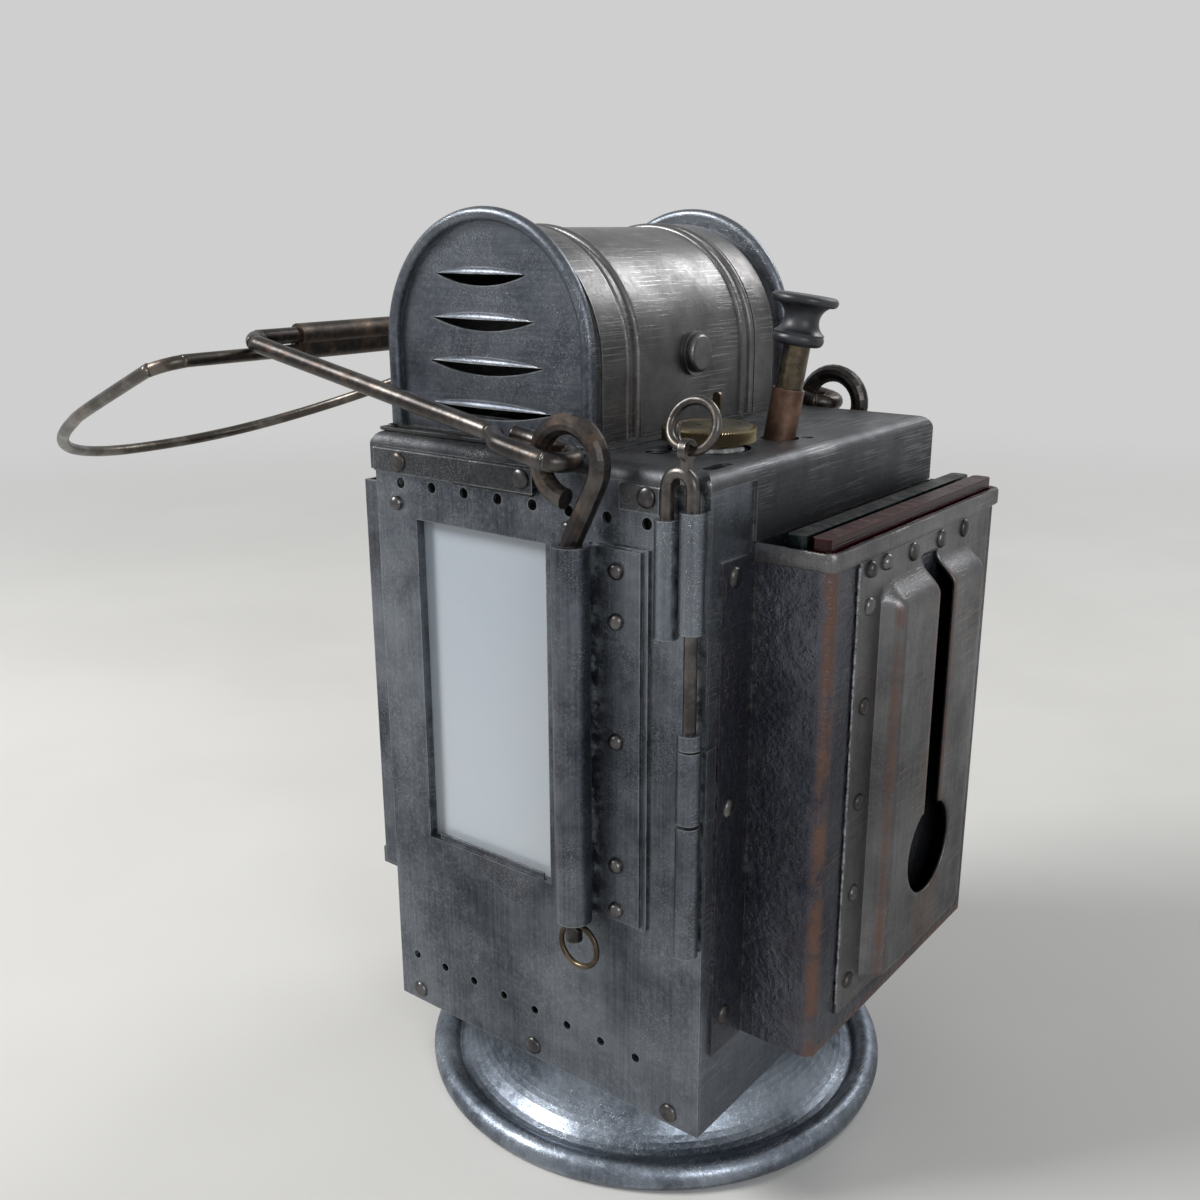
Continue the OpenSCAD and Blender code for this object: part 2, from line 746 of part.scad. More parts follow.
module pane_frame() {
    back = pane_y + pane_t + 0.1;
    pocket = pane_lap + 0.15;
    color(steel) difference() {
        block([window_x0 - frame_lap, front_y + sheet, window_z0 - frame_lap],
            [window_x1 + frame_lap, back + sheet, window_z1 + frame_lap]);
        block([window_x0 - pocket, pane_y - 0.1, window_z0 - pocket],
            [window_x1 + pocket, back, window_z1 + pocket]);
        block([window_x0 - 0.4, front_y, window_z0 - 0.4],
            [window_x1 + 0.4, back + sheet + cut, window_z1 + 0.4]);
        // Room for the tab folded along the sill
        block([window_x0 + 2.5, front_y + sheet - cut, window_z0 - window_lip - 0.3],
            [window_x1 - 2.5, front_y + sheet + 0.9, window_z0]);
    }
}

module lens_outline() {
    ball = (lens_r * lens_r + lens_bulge * lens_bulge) / (2 * lens_bulge);
    square([lens_r + lens_seat, lens_edge]);
    intersection() {
        translate([0, lens_edge + lens_bulge - ball]) circle(r = ball, $fn = 240);
        square([lens_r, lens_edge + lens_bulge]);
    }
}

// Turns a shape drawn upright on z = 0 to point out of the signal wall
module out_left(x) {
    translate([x, 0, flame_z]) rotate([0, -90, 0]) children();
}

module signal_lens() {
    color([0.85, 0.92, 0.95]) out_left(left_x + sheet + lens_edge)
        rotate_extrude($fn = 96) lens_outline();
}

module lens_ring() {
    seat = lens_r + lens_seat + 0.15;
    color(steel) out_left(left_x + sheet + lens_edge + 1.2) rotate_extrude($fn = 96) {
        translate([lens_r - 1.5, 0]) square([seat + 3 - lens_r + 1.5, 1.2]);
        translate([seat, 0]) square([3, 1.2 + lens_edge]);
    }
}

web_y = filter_w / 2 + filter_gap + 0.3;      // inner face of the guide's webs
guide_z0 = body_base + guide_rise;
guide_z1 = guide_z0 + guide_h;

// Two channels on the signal wall that hold a filter before the lens
module filter_guides() {
    outer = left_x - guide_depth;
    color(steel) {
        for (s = [0, 1]) mirror([0, s, 0]) {
            block([outer, web_y, guide_z0], [left_x, web_y + sheet, guide_z1]);
            block([outer, web_y - guide_lip, guide_z0], [outer + sheet, web_y + sheet, guide_z1]);
            block([left_x - sheet, lens_r + 3.5, guide_z0], [left_x, web_y + sheet, guide_z1]);
            block([outer + filter_t + 2 * filter_gap + sheet, web_y - guide_lip, guide_z0],
                [outer + filter_t + 2 * filter_gap + 1.7 * sheet, web_y + sheet, guide_z1]);
        }
    }
}

// Shelf under the channels, with a lip in front and a strap on the wall
module guide_shelf() {
    outer = left_x - guide_depth;
    color(steel) {
        block([outer - sheet, -web_y - sheet, guide_z0 - sheet], [left_x, web_y + sheet, guide_z0]);
        block([outer - sheet, -web_y - sheet, guide_z0 - sheet], [outer, web_y + sheet, guide_z0 + 4]);
        block([left_x - sheet, -web_y + 6, guide_z0 - 7], [left_x, web_y - 6, guide_z0]);
    }
}

// ---- filter box ----------------------------------------------------------

box_x1 = right_x + box_depth;
box_z1 = deck_z - long_skirt_h - air;
box_z0 = box_z1 - box_h;
box_mid = (box_y0 + box_y1) / 2;
slot_pitch = (box_depth - 2 * sheet) / slot_count;
rib_t = 0.6;

// Plan of the box, drawn to an offset outside or inside its outer face
module box_plan(grow) {
    x1 = box_x1 + grow;
    y0 = box_y0 - grow;
    y1 = box_y1 + grow;
    r = box_corner + grow;
    translate([right_x, y0]) square([x1 - right_x - r, y1 - y0]);
    translate([right_x, y0 + r]) square([x1 - right_x, y1 - y0 - 2 * r]);
    for (y = [y0 + r, y1 - r]) translate([x1 - r, y]) circle(r = r);
}

leaf_w = 3;                       // leaf of the pin's knuckle on the side wall
strip_y0 = front_y + leaf_w + 1;  // front edge of the box's mounting strip

module filter_box() {
    color(steel) {
        difference() {
            union() {
                translate([0, 0, box_z0]) linear_extrude(box_h) box_plan(0);
                // Folded rim around the open top
                translate([0, 0, box_z1 - box_rim_h]) linear_extrude(box_rim_h - 0.35) box_plan(0.6);
                translate([0, 0, box_z1 - box_rim_h]) linear_extrude(box_rim_h) box_plan(0.3);
            }
            translate([0, 0, box_z0 + sheet]) linear_extrude(box_h) intersection() {
                box_plan(-sheet);
                translate([right_x + sheet, box_y0]) square([box_depth, box_y1 - box_y0]);
            }
        }
        // Front mounting strip on the side wall, rear strip round the corner
        block([right_x, strip_y0, box_z0], [right_x + sheet, box_y0 + 1, box_z1 - 2]);
        block([right_x - 12, rear_y, box_z0], [right_x + 1, rear_y + sheet, box_z1 - 2]);
    }
}

// Ribs at both ends of the box that keep the filters apart
module box_guides() {
    z0 = box_z0 + sheet;
    color(steel) for (k = [1:slot_count - 1]) {
        x = box_x1 - sheet - k * slot_pitch - rib_t / 2;
        block([x, box_y0 + sheet, z0], [x + rib_t, box_y0 + sheet + 4, box_z1 - 3]);
        block([x, box_y1 - sheet - 4, z0], [x + rib_t, box_y1 - sheet, box_z1 - 3]);
    }
}

// A glass filter with bevelled vertical edges, resting on the floor of the box
module glass(slot) {
    x = box_x1 - sheet - (slot + 0.5) * slot_pitch;
    bevel = 0.8;
    z0 = box_z0 + sheet + 0.05;
    a = filter_t / 2;
    b = filter_w / 2;
    c = a - bevel;
    d = b - bevel;
    translate([x, box_mid, z0]) linear_extrude(filter_h)
        polygon([[a, -d], [a, d], [c, b], [-c, b], [-a, d], [-a, -d], [-c, -b], [c, -b]]);
}

module red_filter() {
    color([0.35, 0.03, 0.03]) glass(0);
}

module green_filter() {
    color([0.02, 0.10, 0.06]) glass(1);
}

// ---- hanger pan ----------------------------------------------------------

pan_x = box_x1 + sheet;
pan_h = box_h - pan_foot - pan_drop;
pan_z0 = box_z0 + pan_foot;
pan_z1 = pan_z0 + pan_h;
keyhole_z = pan_z0 + keyhole_rise;
pan_margin = 10.5;                // width of the flange beside the pan

// Outline of the raised pan in Y and Z, drawn inwards by d
module pan_outline(d) {
    r = 4 - d;
    w = pan_w / 2 - d;
    h = pan_h - d;
    translate([-w, d + r]) square([2 * w, h - d - r]);
    translate([-w + r, d]) square([2 * w - 2 * r, h - d]);
    for (s = [-1, 1]) translate([s * (w - r), d + r]) circle(r = r, $fn = 32);
}

// Moves a drawing in Y and Z to the pan's place and gives it thickness along +X
module pan_layer(x, t) {
    translate([x, pan_y, pan_z0]) rotate([90, 0, 90]) linear_extrude(t) children();
}

module hanger_pan() {
    color(steel) difference() {
        union() {
            // Flange riveted to the box
            block([box_x1, pan_y - pan_w / 2 - pan_margin, pan_z0 - 2.5],
                [pan_x, min(pan_y + pan_w / 2 + pan_margin, box_y1 - box_corner - 0.4), box_z1 - box_rim_h - 0.2]);
            pan_layer(box_x1, pan_depth - 0.4) pan_outline(0);
            pan_layer(box_x1, pan_depth) pan_outline(0.5);
            // Turned-out lips beside the mouth of the slot
            for (s = [-1, 1]) pan_layer(box_x1, pan_depth + 0.7)
                translate([s * (key_slot_w / 2 + 1.5) - 1.5, pan_h - 1.2]) square([3, 1.2]);
        }
        // Hollow behind the face, open at the top and through to the box wall
        pan_layer(box_x1 - cut, pan_depth - sheet + cut) pan_outline(sheet);
        pan_layer(box_x1 - cut, pan_depth - sheet + cut)
            translate([-pan_w / 2 + sheet, pan_h - 6]) square([pan_w - 2 * sheet, 7]);
        pan_layer(box_x1 - cut, pan_depth + 2) {
            translate([-key_slot_w / 2, keyhole_rise]) square([key_slot_w, pan_h - keyhole_rise + 3]);
            translate([0, keyhole_rise]) circle(r = keyhole_r, $fn = 64);
        }
    }
}

// ---- handle --------------------------------------------------------------

arm_y = front_y - arm_out;        // plane of the front arm and hook
hinge_z = deck_z + hinge_rise;
rod_r = rod_d / 2;
bail_r = bail_d / 2;
sleeve_z1 = deck_z - sleeve_drop;
sleeve_z0 = sleeve_z1 - sleeve_len;
sleeve_r = rod_r + run + sleeve_wall;
tip_d = 4;                        // turned-down lower end of a hook rod
stop_hole_z = sleeve_z0 - 1.5;
stop_r = 5.4;                     // centre-line radius of a stop ring
stop_d = 1.4;                     // its wire
stop_tilt = 15;
stop_hole_d = stop_d + 1.6;

module sleeve() {
    x0 = hinge_x - sleeve_r;
    flat = 2 * sheet;
    difference() {
        union() {
            translate([hinge_x, arm_y, sleeve_z0]) cylinder(r = sleeve_r, h = sleeve_len);
            block([hinge_x - 1.5, arm_y, sleeve_z0], [hinge_x + 1.5, front_y - sheet, sleeve_z1]);
            block([x0, front_y - sheet, sleeve_z0], [x0 + sleeve_flange + sleeve_r, front_y, sleeve_z1]);
            block([hinge_x, front_y - flat, sleeve_z0 + 0.5],
                [x0 + sleeve_flange + sleeve_r - 1.5, front_y, sleeve_z1 - 0.5]);
        }
        translate([hinge_x, arm_y, sleeve_z0 - cut]) cylinder(r = rod_r + run, h = sleeve_len + 2 * cut);
    }
}

module front_sleeve() {
    color(steel) sleeve();
}

module rear_sleeve() {
    color(steel) mirror([0, 1, 0]) sleeve();
}

// Hook rod: straight stem in its sleeve, a slanting neck and an open ring
module hook_rod() {
    lean = -27;                   // angle on the ring where the slanting neck joins
    join = [hinge_x, hinge_z] + hook_r * [cos(lean), sin(lean)];
    dir = [-sin(lean), cos(lean)];
    down = (join[0] - hinge_x) / dir[0];
    bend = join - down * dir;
    turn = 90 - atan2(dir[1], dir[0]);
    soft = 6;                     // bend radius between stem and neck
    cut_back = soft * tan(turn / 2);
    c = [hinge_x + soft, bend[1] - cut_back];
    path = concat([[hinge_x, sleeve_z1 - 2]],
        arc(c, soft, 180, 180 - turn, 4),
        arc([hinge_x, hinge_z], hook_r, lean, 262, 24));
    difference() {
        union() {
            translate([hinge_x, arm_y, sleeve_z0 - 0.4]) cylinder(r = rod_r, h = sleeve_len - 1);
            translate([hinge_x, arm_y, sleeve_z0 - 5.6]) cylinder(d = tip_d, h = 6);
            translate([0, arm_y, 0]) rotate([90, 0, 0]) wire(path, rod_r, 12);
        }
        translate([hinge_x, arm_y, stop_hole_z]) rotate([0, 90 - stop_tilt, 0])
            cylinder(d = stop_hole_d, h = 4 * tip_d, center = true, $fn = 24);
    }
}

module front_hook_rod() {
    color(dark_steel) hook_rod();
}

module rear_hook_rod() {
    color(dark_steel) mirror([0, 1, 0]) hook_rod();
}

module stop_ring() {
    translate([hinge_x, arm_y, stop_hole_z]) rotate([0, -stop_tilt, 0])
        translate([0, 0, -stop_r]) rotate([90, 0, 0]) wire_ring(stop_r, stop_d / 2);
}

module front_stop_ring() {
    color(brass) stop_ring();
}

module rear_stop_ring() {
    color(brass) mirror([0, 1, 0]) stop_ring();
}

// Moves a flat drawing whose X is "out along the arms" to the handle's rest pose
module on_bail() {
    translate([hinge_x, 0, hinge_z]) rotate([0, bail_rest, 0]) mirror([1, 0, 0]) children();
}

eye_gap = rod_r + air + bail_r;   // half the width of an eye, to its centre-line

// Front half of the handle wire, from the closing end of the eye to the grip
function bail_half() =
    let (y = arm_y, corner = 6, e = eye_gap)
    concat([[20, y + 2 * bail_r - 0.4], [16, y + e]],
        arc([e, y], e, 90, 270, 10),
        [[15, y - e], [18, y - e * 0.75], [21, y - e * 0.25], [24, y]],
        arc([bail_reach - corner, y + corner], corner, -90, 0, 6));

module bail() {
    half = bail_half();
    other = [for (i = [len(half) - 1:-1:0]) [half[i][0], -half[i][1]]];
    color(dark_steel) on_bail() wire(concat(half, other), bail_r, 12);
}

loop_drop = bail_r + air + loop_d / 2;   // hand loop's pivot below the grip wire

// Outline of the grip's folded sleeve round both wires, in the handle's frame
module grip_outline(grow_bail, grow_loop) {
    circle(r = bail_r + grow_bail, $fn = 32);
    translate([0, -loop_drop]) circle(r = loop_d / 2 + grow_loop, $fn = 32);
}

module grip_sleeve() {
    color([0.45, 0.36, 0.30]) on_bail() translate([bail_reach, grip_len / 2, 0])
        rotate([90, 0, 0]) difference() {
            linear_extrude(grip_len) difference() {
                union() {
                    grip_outline(grip_wall, grip_wall);
                    translate([-loop_d / 2 - grip_wall, -loop_drop])
                        square([loop_d + 2 * grip_wall, loop_drop]);
                }
                grip_outline(0, run);
                translate([-0.8, -loop_drop]) square([1.6, loop_drop]);
            }
        }
}

// Half of the hand loop: from its pivot line round to the middle of its far side
function loop_half_path() =
    let (p = 2.3, a = loop_half, b = loop_depth, bend = 9)
    concat(arc([bend, a - bend], bend, 180, 90, 6),
        [for (t = [20:7:90]) let (s = pow(sin(t), 2 / p), c = pow(cos(t), 2 / p)) [b * s, a * c]]);

module hand_loop() {
    half = loop_half_path();
    other = [for (i = [len(half) - 2:-1:0]) [half[i][0], -half[i][1]]];
    color(dark_steel) on_bail() translate([bail_reach, -loop_shift, -loop_drop])
        rotate([0, bail_rest + loop_droop, 0]) wire(concat(half, other), loop_d / 2, 10, true);
}

// ---- corner pin ----------------------------------------------------------

pin_x = right_x - pin_edge;
pin_y = front_y - pin_out;
short_x = pin_x - pin_gap;
pin_r = pin_d / 2;
pin_top = deck_z - 3;             // where the legs turn into the bow
ring_hole_z = deck_z + 5;
ring_lean = 20;
knuckle_z1 = deck_z - knuckle_drop;
knuckle_z0 = knuckle_z1 - pin_knuckle_h;
tube_z1 = skirt_z + 2;            // top of the long leg's upper tube

// A rolled tube on the window plate, with its soldered wing
module rolled_tube(x, z0, z1, wing) {
    difference() {
        union() {
            translate([x, pin_y, z0]) cylinder(r = pin_r + run + tube_wall, h = z1 - z0);
            block([min(x, x + wing), front_y - 0.6, z0], [max(x, x + wing), front_y, z1]);
        }
        translate([x, pin_y, z0 - cut]) cylinder(r = pin_r + run, h = z1 - z0 + 2 * cut);
        block([x - 6, front_y, z0 - cut], [x + 6, front_y + 6, z1 + cut]);
    }
}

module pin_tubes() {
    color(steel) {
        rolled_tube(pin_x, tube_z1 - tube_len, tube_z1, 2.6);
        rolled_tube(short_x, deck_z - pin_short - 0.7, skirt_z - air, -4);
        rolled_tube(pin_x, knuckle_z1 + 0.5, knuckle_z1 + 4, 2.4);
        rolled_tube(pin_x, deck_z - pin_long - 1, knuckle_z0 - 0.8, -4);
    }
}

// Knuckle of the side wall that the pin locks to the window plate
module pin_knuckle() {
    z0 = knuckle_z0;
    z1 = knuckle_z1;
    color(steel) difference() {
        union() {
            translate([pin_x, pin_y, z0]) cylinder(r = pin_r + run + tube_wall, h = z1 - z0);
            block([pin_x, front_y - 0.6, z0], [right_x + sheet, front_y, z1]);
            block([right_x, front_y - 0.6, z0], [right_x + sheet, front_y + leaf_w, z1]);
        }
        translate([pin_x, pin_y, z0 - cut]) cylinder(r = pin_r + run, h = z1 - z0 + 2 * cut);
        block([pin_x - 6, front_y, z0 - cut], [right_x, front_y + 6, z1 + cut]);
    }
}

module pull_pin() {
    bow = pin_gap / 2;
    tab_x = pin_x - 1.7;
    color(dark_steel) {
        translate([pin_x, pin_y, deck_z - pin_long]) cylinder(r = pin_r, h = pin_top - deck_z + pin_long);
        translate([short_x, pin_y, deck_z - pin_short]) cylinder(r = pin_r, h = pin_top - deck_z + pin_short);
        translate([pin_x - bow, pin_y, pin_top]) rotate([90, 0, 0])
            rotate_extrude(angle = 180) translate([bow, 0]) circle(r = pin_r, $fn = 24);
        // Flattened eye above the bow
        difference() {
            union() {
                block([tab_x - 0.8, pin_y - 1.1, pin_top + 1], [tab_x + 0.8, pin_y + 1.1, ring_hole_z]);
                translate([tab_x - 0.8, pin_y, ring_hole_z]) rotate([0, 90, 0]) cylinder(r = 2.4, h = 1.6);
            }
            translate([tab_x - 2, pin_y, ring_hole_z]) rotate([0, 90, 0])
                cylinder(d = ring_d + 0.3, h = 4, $fn = 24);
        }
    }
}

module pull_ring() {
    color(dark_steel) translate([pin_x - 1.7, pin_y, ring_hole_z]) rotate([-ring_lean, 0, 0])
        translate([0, 0, ring_r]) rotate([90, 0, 0]) wire_ring(ring_r, ring_d / 2);
}

// ---- filler --------------------------------------------------------------

cap_z = deck_z + 1.6;             // underside of the knurled cap
tank_z1 = deck_z - 5;
tank_z0 = tank_z1 - tank_h;
tank_x0 = filler_x - 14;
tank_y0 = front_y + 4.4;
tank_y1 = filler_y + 13;
needle_d = 3;

module water_tank() {
    color(steel) difference() {
        block([tank_x0, tank_y0, tank_z0], [right_x - sheet, tank_y1, tank_z1]);
        block([tank_x0 + sheet, tank_y0 + sheet, tank_z0 + sheet],
            [right_x - 2 * sheet, tank_y1 - sheet, tank_z1 - sheet]);
        translate([filler_x, filler_y, tank_z1 - 2]) cylinder(r = filler_r - sheet, h = 4);
    }
}

module filler_neck() {
    color(brass) translate([filler_x, filler_y, tank_z1]) difference() {
        union() {
            cylinder(r = filler_r, h = cap_z - tank_z1 - 0.1);
            cylinder(r = filler_r + 2, h = 1);
        }
        translate([0, 0, -cut]) cylinder(r = filler_r - sheet, h = 20);
    }
}

// Knurled cap: a disc with slanting teeth round its edge
module filler_cap() {
    color(brass) translate([filler_x, filler_y, cap_z]) {
        difference() {
            union() {
                linear_extrude(cap_h - 0.8, twist = 14, slices = 2)
                    knurl_outline(cap_d / 2 - 0.5, cap_d / 2);
                translate([0, 0, cap_h - 0.8]) cylinder(r1 = cap_d / 2 - 0.4, r2 = cap_d / 2 - 1.2, h = 0.8);
            }
            translate([0, 0, -cut]) cylinder(d = needle_d, h = cap_h + cut - 1.2);
        }
        translate([0, 0, -3]) difference() {
            cylinder(r = filler_r - sheet - run, h = 3.4);
            translate([0, 0, -cut]) cylinder(d = needle_d, h = 5);
        }
    }
}

module knurl_outline(r0, r1) {
    polygon([for (i = [0:knurl_count - 1], k = [0, 1])
        let (a = 360 * (i + k / 2) / knurl_count) (k == 0 ? r0 : r1) * [cos(a), sin(a)]]);
}

module cap_needle() {
    tip = 4;
    color(brass) translate([filler_x, filler_y, tank_z0 + sheet + 0.5]) {
        cylinder(d1 = 0.8, d2 = needle_d, h = tip);
        translate([0, 0, tip]) cylinder(d = needle_d, h = cap_z + cap_h - 1.2 - tank_z0 - sheet - 0.5 - tip);
    }
}

// Brass strip behind the cap, bent upright, that clicks on the knurl
module cap_click_spring() {
    w = 2.2;
    x = filler_x - 5.5;
    y = filler_y + cap_d / 2 + 0.6;
    color(brass) {
        block([x - w / 2, y, deck_z], [x + w / 2, y + 6, deck_z + 0.8]);
        block([x - w / 2, y, deck_z], [x + w / 2, y + 0.8, deck_z + 10]);
        translate([x, y + 0.8, deck_z + 10]) rotate([90, 0, 0]) cylinder(d = w, h = 0.8, $fn = 24);
    }
}

// ---- morse key -----------------------------------------------------------

key_r = key_d / 2;
key_below = 30;                   // length of the rod's axis below the deck

// The key's own frame: its Z axis is the leaning slide, its origin on the deck
module on_key() {
    translate([key_x, key_y, deck_z]) rotate([0, 0, key_yaw]) rotate([0, key_lean, 0]) children();
}

module key_guide() {
    outer = key_r + run + guide_wall;
    color(copper) difference() {
        union() {
            on_key() translate([0, 0, -12]) cylinder(r = outer, h = guide_up + 12);
            translate([key_x, key_y, under_deck - 2.5]) cylinder(r = outer + 3, h = 2.5);
        }
        on_key() translate([0, 0, -20]) cylinder(r = key_r + run, h = 60);
    }
}

module key_rod() {
    color([0.5, 0.5, 0.48]) on_key() {
        translate([0, 0, -key_below]) cylinder(r = key_r, h = key_below + guide_up + key_up);
        translate([0, 0, -key_below]) sphere(r = key_r);
    }
}

// Turned spool-shaped knob
module key_knob() {
    ring_h = knob_h * 0.26;
    top_h = knob_h * 0.2;
    waist = knob_r * 0.53;
    hollow = (knob_h - ring_h - top_h) * 0.58;
    color([0.12, 0.13, 0.16]) on_key() translate([0, 0, guide_up + key_up])
        rotate_extrude($fn = 64) {
            square([knob_r * 0.58, ring_h]);
            translate([knob_r * 0.58, ring_h / 2]) circle(r = ring_h / 2, $fn = 32);
            translate([0, knob_h - top_h]) square([knob_r - top_h / 2, top_h]);
            translate([knob_r - top_h / 2, knob_h - top_h / 2]) circle(r = top_h / 2, $fn = 32);
            difference() {
                polygon([[0, ring_h / 2], [knob_r * 0.72, ring_h / 2],
                    [knob_r - 0.4, knob_h - top_h / 2], [0, knob_h - top_h / 2]]);
                translate([waist + hollow, ring_h + hollow * 0.82]) circle(r = hollow, $fn = 48);
            }
        }
}

// ---- gas works -----------------------------------------------------------

// Centre of the rounded lower end of the key's rod
key_foot = [key_x - key_below * sin(key_lean) * cos(key_yaw),
            key_y - key_below * sin(key_lean) * sin(key_yaw),
            deck_z - key_below * cos(key_lean)];
valve_x = key_foot[0] - 0.5;
valve_y = key_foot[1] - 0.3;
button_z = key_foot[2] - key_r - 0.15;       // top of the valve plunger
button_t = 2;
spring_len = 20;
valve_z1 = button_z - button_t - spring_len;
valve_z0 = valve_z1 - 20;
valve_r = 6.5;
stem_r = 2;
lid_z0 = floor_z + canister_h;
lid_z1 = lid_z0 + 4;
canister_x = right_x - 28;
gas_r = gas_d / 2;
elbow_r = gas_r + 0.5;                       // soldered elbows of the gas tubes
run_z = lid_z1 + gas_r + 3;                  // level of the crossing gas tube
flame_x = -16;
burner_z = flame_z - 17;

module gas_valve() {
    color(brass) difference() {
        union() {
            translate([valve_x, valve_y, valve_z0]) cylinder(r = valve_r, h = valve_z1 - valve_z0);
            block([valve_x, valve_y - 4, valve_z0 + 4], [right_x - sheet, valve_y + 4, valve_z0 + 7]);
            block([right_x - sheet - 1.5, valve_y - 4, valve_z0 - 2], [right_x - sheet, valve_y + 4, valve_z0 + 13]);
        }
        translate([valve_x, valve_y, valve_z0 + 3]) cylinder(r = stem_r + run, h = valve_z1 - valve_z0);
    }
}

module valve_plunger() {
    color(brass) translate([valve_x, valve_y, 0]) {
        translate([0, 0, button_z - button_t]) cylinder(r = 5, h = button_t);
        translate([0, 0, valve_z0 + 3 + key_travel + 1])
            cylinder(r = stem_r, h = button_z - button_t - valve_z0 - 4 - key_travel + 0.5);
    }
}

// Compression spring: one unbroken helix of round wire
spring_rings = 8;
spring_sides = 6;
function spring_point(i) =
    let (n = spring_turns * spring_rings, a = 360 * i / spring_rings,
         z = valve_z1 + spring_d / 2 + 0.02 + (spring_len - spring_d - 0.04) * i / n)
    [valve_x + spring_r * cos(a), valve_y + spring_r * sin(a), z];
spring_pitch = (spring_len - spring_d) / spring_turns;
echo(least_gap_between_spring_turns =
    min([for (i = [0:2], j = [spring_rings - 2:spring_rings + 2])
        norm(spring_point(i) - spring_point(i + j)) - spring_d]));

module valve_spring() {
    n = spring_turns * spring_rings;
    s = spring_sides;
    points = [for (i = [0:n], k = [0:s - 1])
        let (a = 360 * i / spring_rings, b = 360 * k / s, p = spring_point(i))
        p + spring_d / 2 * [cos(b) * cos(a), cos(b) * sin(a), sin(b)]];
    color(dark_steel) polyhedron(points = points, faces = concat(
        [for (i = [0:n - 1], k = [0:s - 1], h = [0:1])
            let (a = i * s + k, b = i * s + (k + 1) % s)
            h == 0 ? [a, b, b + s] : [a, b + s, a + s]],
        [for (k = [1:s - 2]) [0, k + 1, k]],
        [for (k = [1:s - 2]) [n * s, n * s + k, n * s + k + 1]]), convexity = 8);
}

module carbide_canister() {
    color(steel) translate([canister_x, 0, floor_z]) rotate_extrude() difference() {
        square([canister_r, canister_h]);
        translate([-1, sheet]) square([canister_r - sheet + 1, canister_h]);
    }
}

module canister_lid() {
    color(brass) translate([canister_x, 0, lid_z0]) {
        cylinder(r = canister_r + 0.8, h = 4);
        translate([0, 0, -3]) cylinder(r = canister_r - sheet - run, h = 3.2);
    }
}

drip_x = filler_x - 7;
drip_y = tank_y1 - 2.5;

module drip_tube() {
    color(copper) bar([drip_x, drip_y, lid_z1], [drip_x, drip_y, tank_z0], 2);
}

feed_y = valve_y + valve_r + 9.5;

module feed_tube() {
    z = valve_z0 + 10;
    color(copper) {
        bar([valve_x, feed_y, lid_z1], [valve_x, feed_y, z], gas_r);
        translate([valve_x, feed_y, z]) sphere(r = elbow_r);
        bar([valve_x, feed_y, z], [valve_x, valve_y + valve_r + 0.1, z], gas_r);
    }
}

module gas_tube() {
    color(copper) {
        bar([valve_x, valve_y, run_z], [valve_x, valve_y, valve_z0], gas_r);
        translate([valve_x, valve_y, run_z]) sphere(r = elbow_r);
        bar([valve_x, valve_y, run_z], [flame_x, 0, run_z], gas_r);
        translate([flame_x, 0, run_z]) sphere(r = elbow_r);
        bar([flame_x, 0, run_z], [flame_x, 0, burner_z], gas_r);
    }
}

// Burner with two jets that meet in one flat flame
module burner() {
    color([0.8, 0.78, 0.7]) translate([flame_x, 0, burner_z]) {
        cylinder(r = 3.5, h = 6);
        translate([0, 0, 11]) rotate([-90, 0, 90])
            rotate_extrude(angle = 180) translate([6, 0]) circle(r = 1.6, $fn = 24);
        for (s = [-1, 1]) bar([0, s * 6, 10.6], [0, s * 4.4, 15], 1.9);
    }
}

reflector_x = flame_x + 25;       // the mirror's middle, one focal length behind the flame

module reflector() {
    color([0.8, 0.8, 0.8]) translate([reflector_x - reflector_curve, 0, flame_z]) rotate([0, 90, 0])
        rotate_extrude($fn = 96) intersection() {
            difference() {
                circle(r = reflector_curve + sheet, $fn = 240);
                circle(r = reflector_curve, $fn = 240);
            }
            square([reflector_r, reflector_curve + 2 * sheet]);
        }
}

module reflector_bracket() {
    x = reflector_x + sheet;
    color(steel) {
        block([x, -6, flame_z - 6], [x + sheet, 6, under_deck]);
        block([x, -6, under_deck - sheet], [x + 7, 6, under_deck]);
    }
}

// ---- rear door -----------------------------------------------------------

door_hinge_x = door_x0 - 7;
door_hinge_y = rear_y + hinge_d / 2 + run + sheet + 0.15;
knuckle_r = hinge_d / 2 + run + sheet;
door_bottom = door_z0 - door_lap;
door_top = door_z1 + door_lap;

module door_bore() {
    translate([door_hinge_x, door_hinge_y, door_bottom - 5])
        cylinder(r = hinge_d / 2 + run, h = door_top - door_bottom + 10);
}

// One rolled knuckle with its leaf, from z0 to z1; side is the leaf's direction
module knuckle(z0, z1, side) {
    translate([door_hinge_x, door_hinge_y, z0]) cylinder(r = knuckle_r, h = z1 - z0);
    block([min(door_hinge_x, door_hinge_x + side), rear_y, z0],
        [max(door_hinge_x, door_hinge_x + side), rear_y + sheet, z1]);
}

knuckle_h = 16;

module hinge_knuckles() {
    color(steel) difference() {
        for (z = [door_bottom, door_top - knuckle_h]) knuckle(z, z + knuckle_h, -3.5);
        door_bore();
    }
}

module hinge_pin() {
    color(dark_steel) translate([door_hinge_x, door_hinge_y, door_bottom - 1])
        cylinder(d = hinge_d, h = door_top - door_bottom + 2);
}

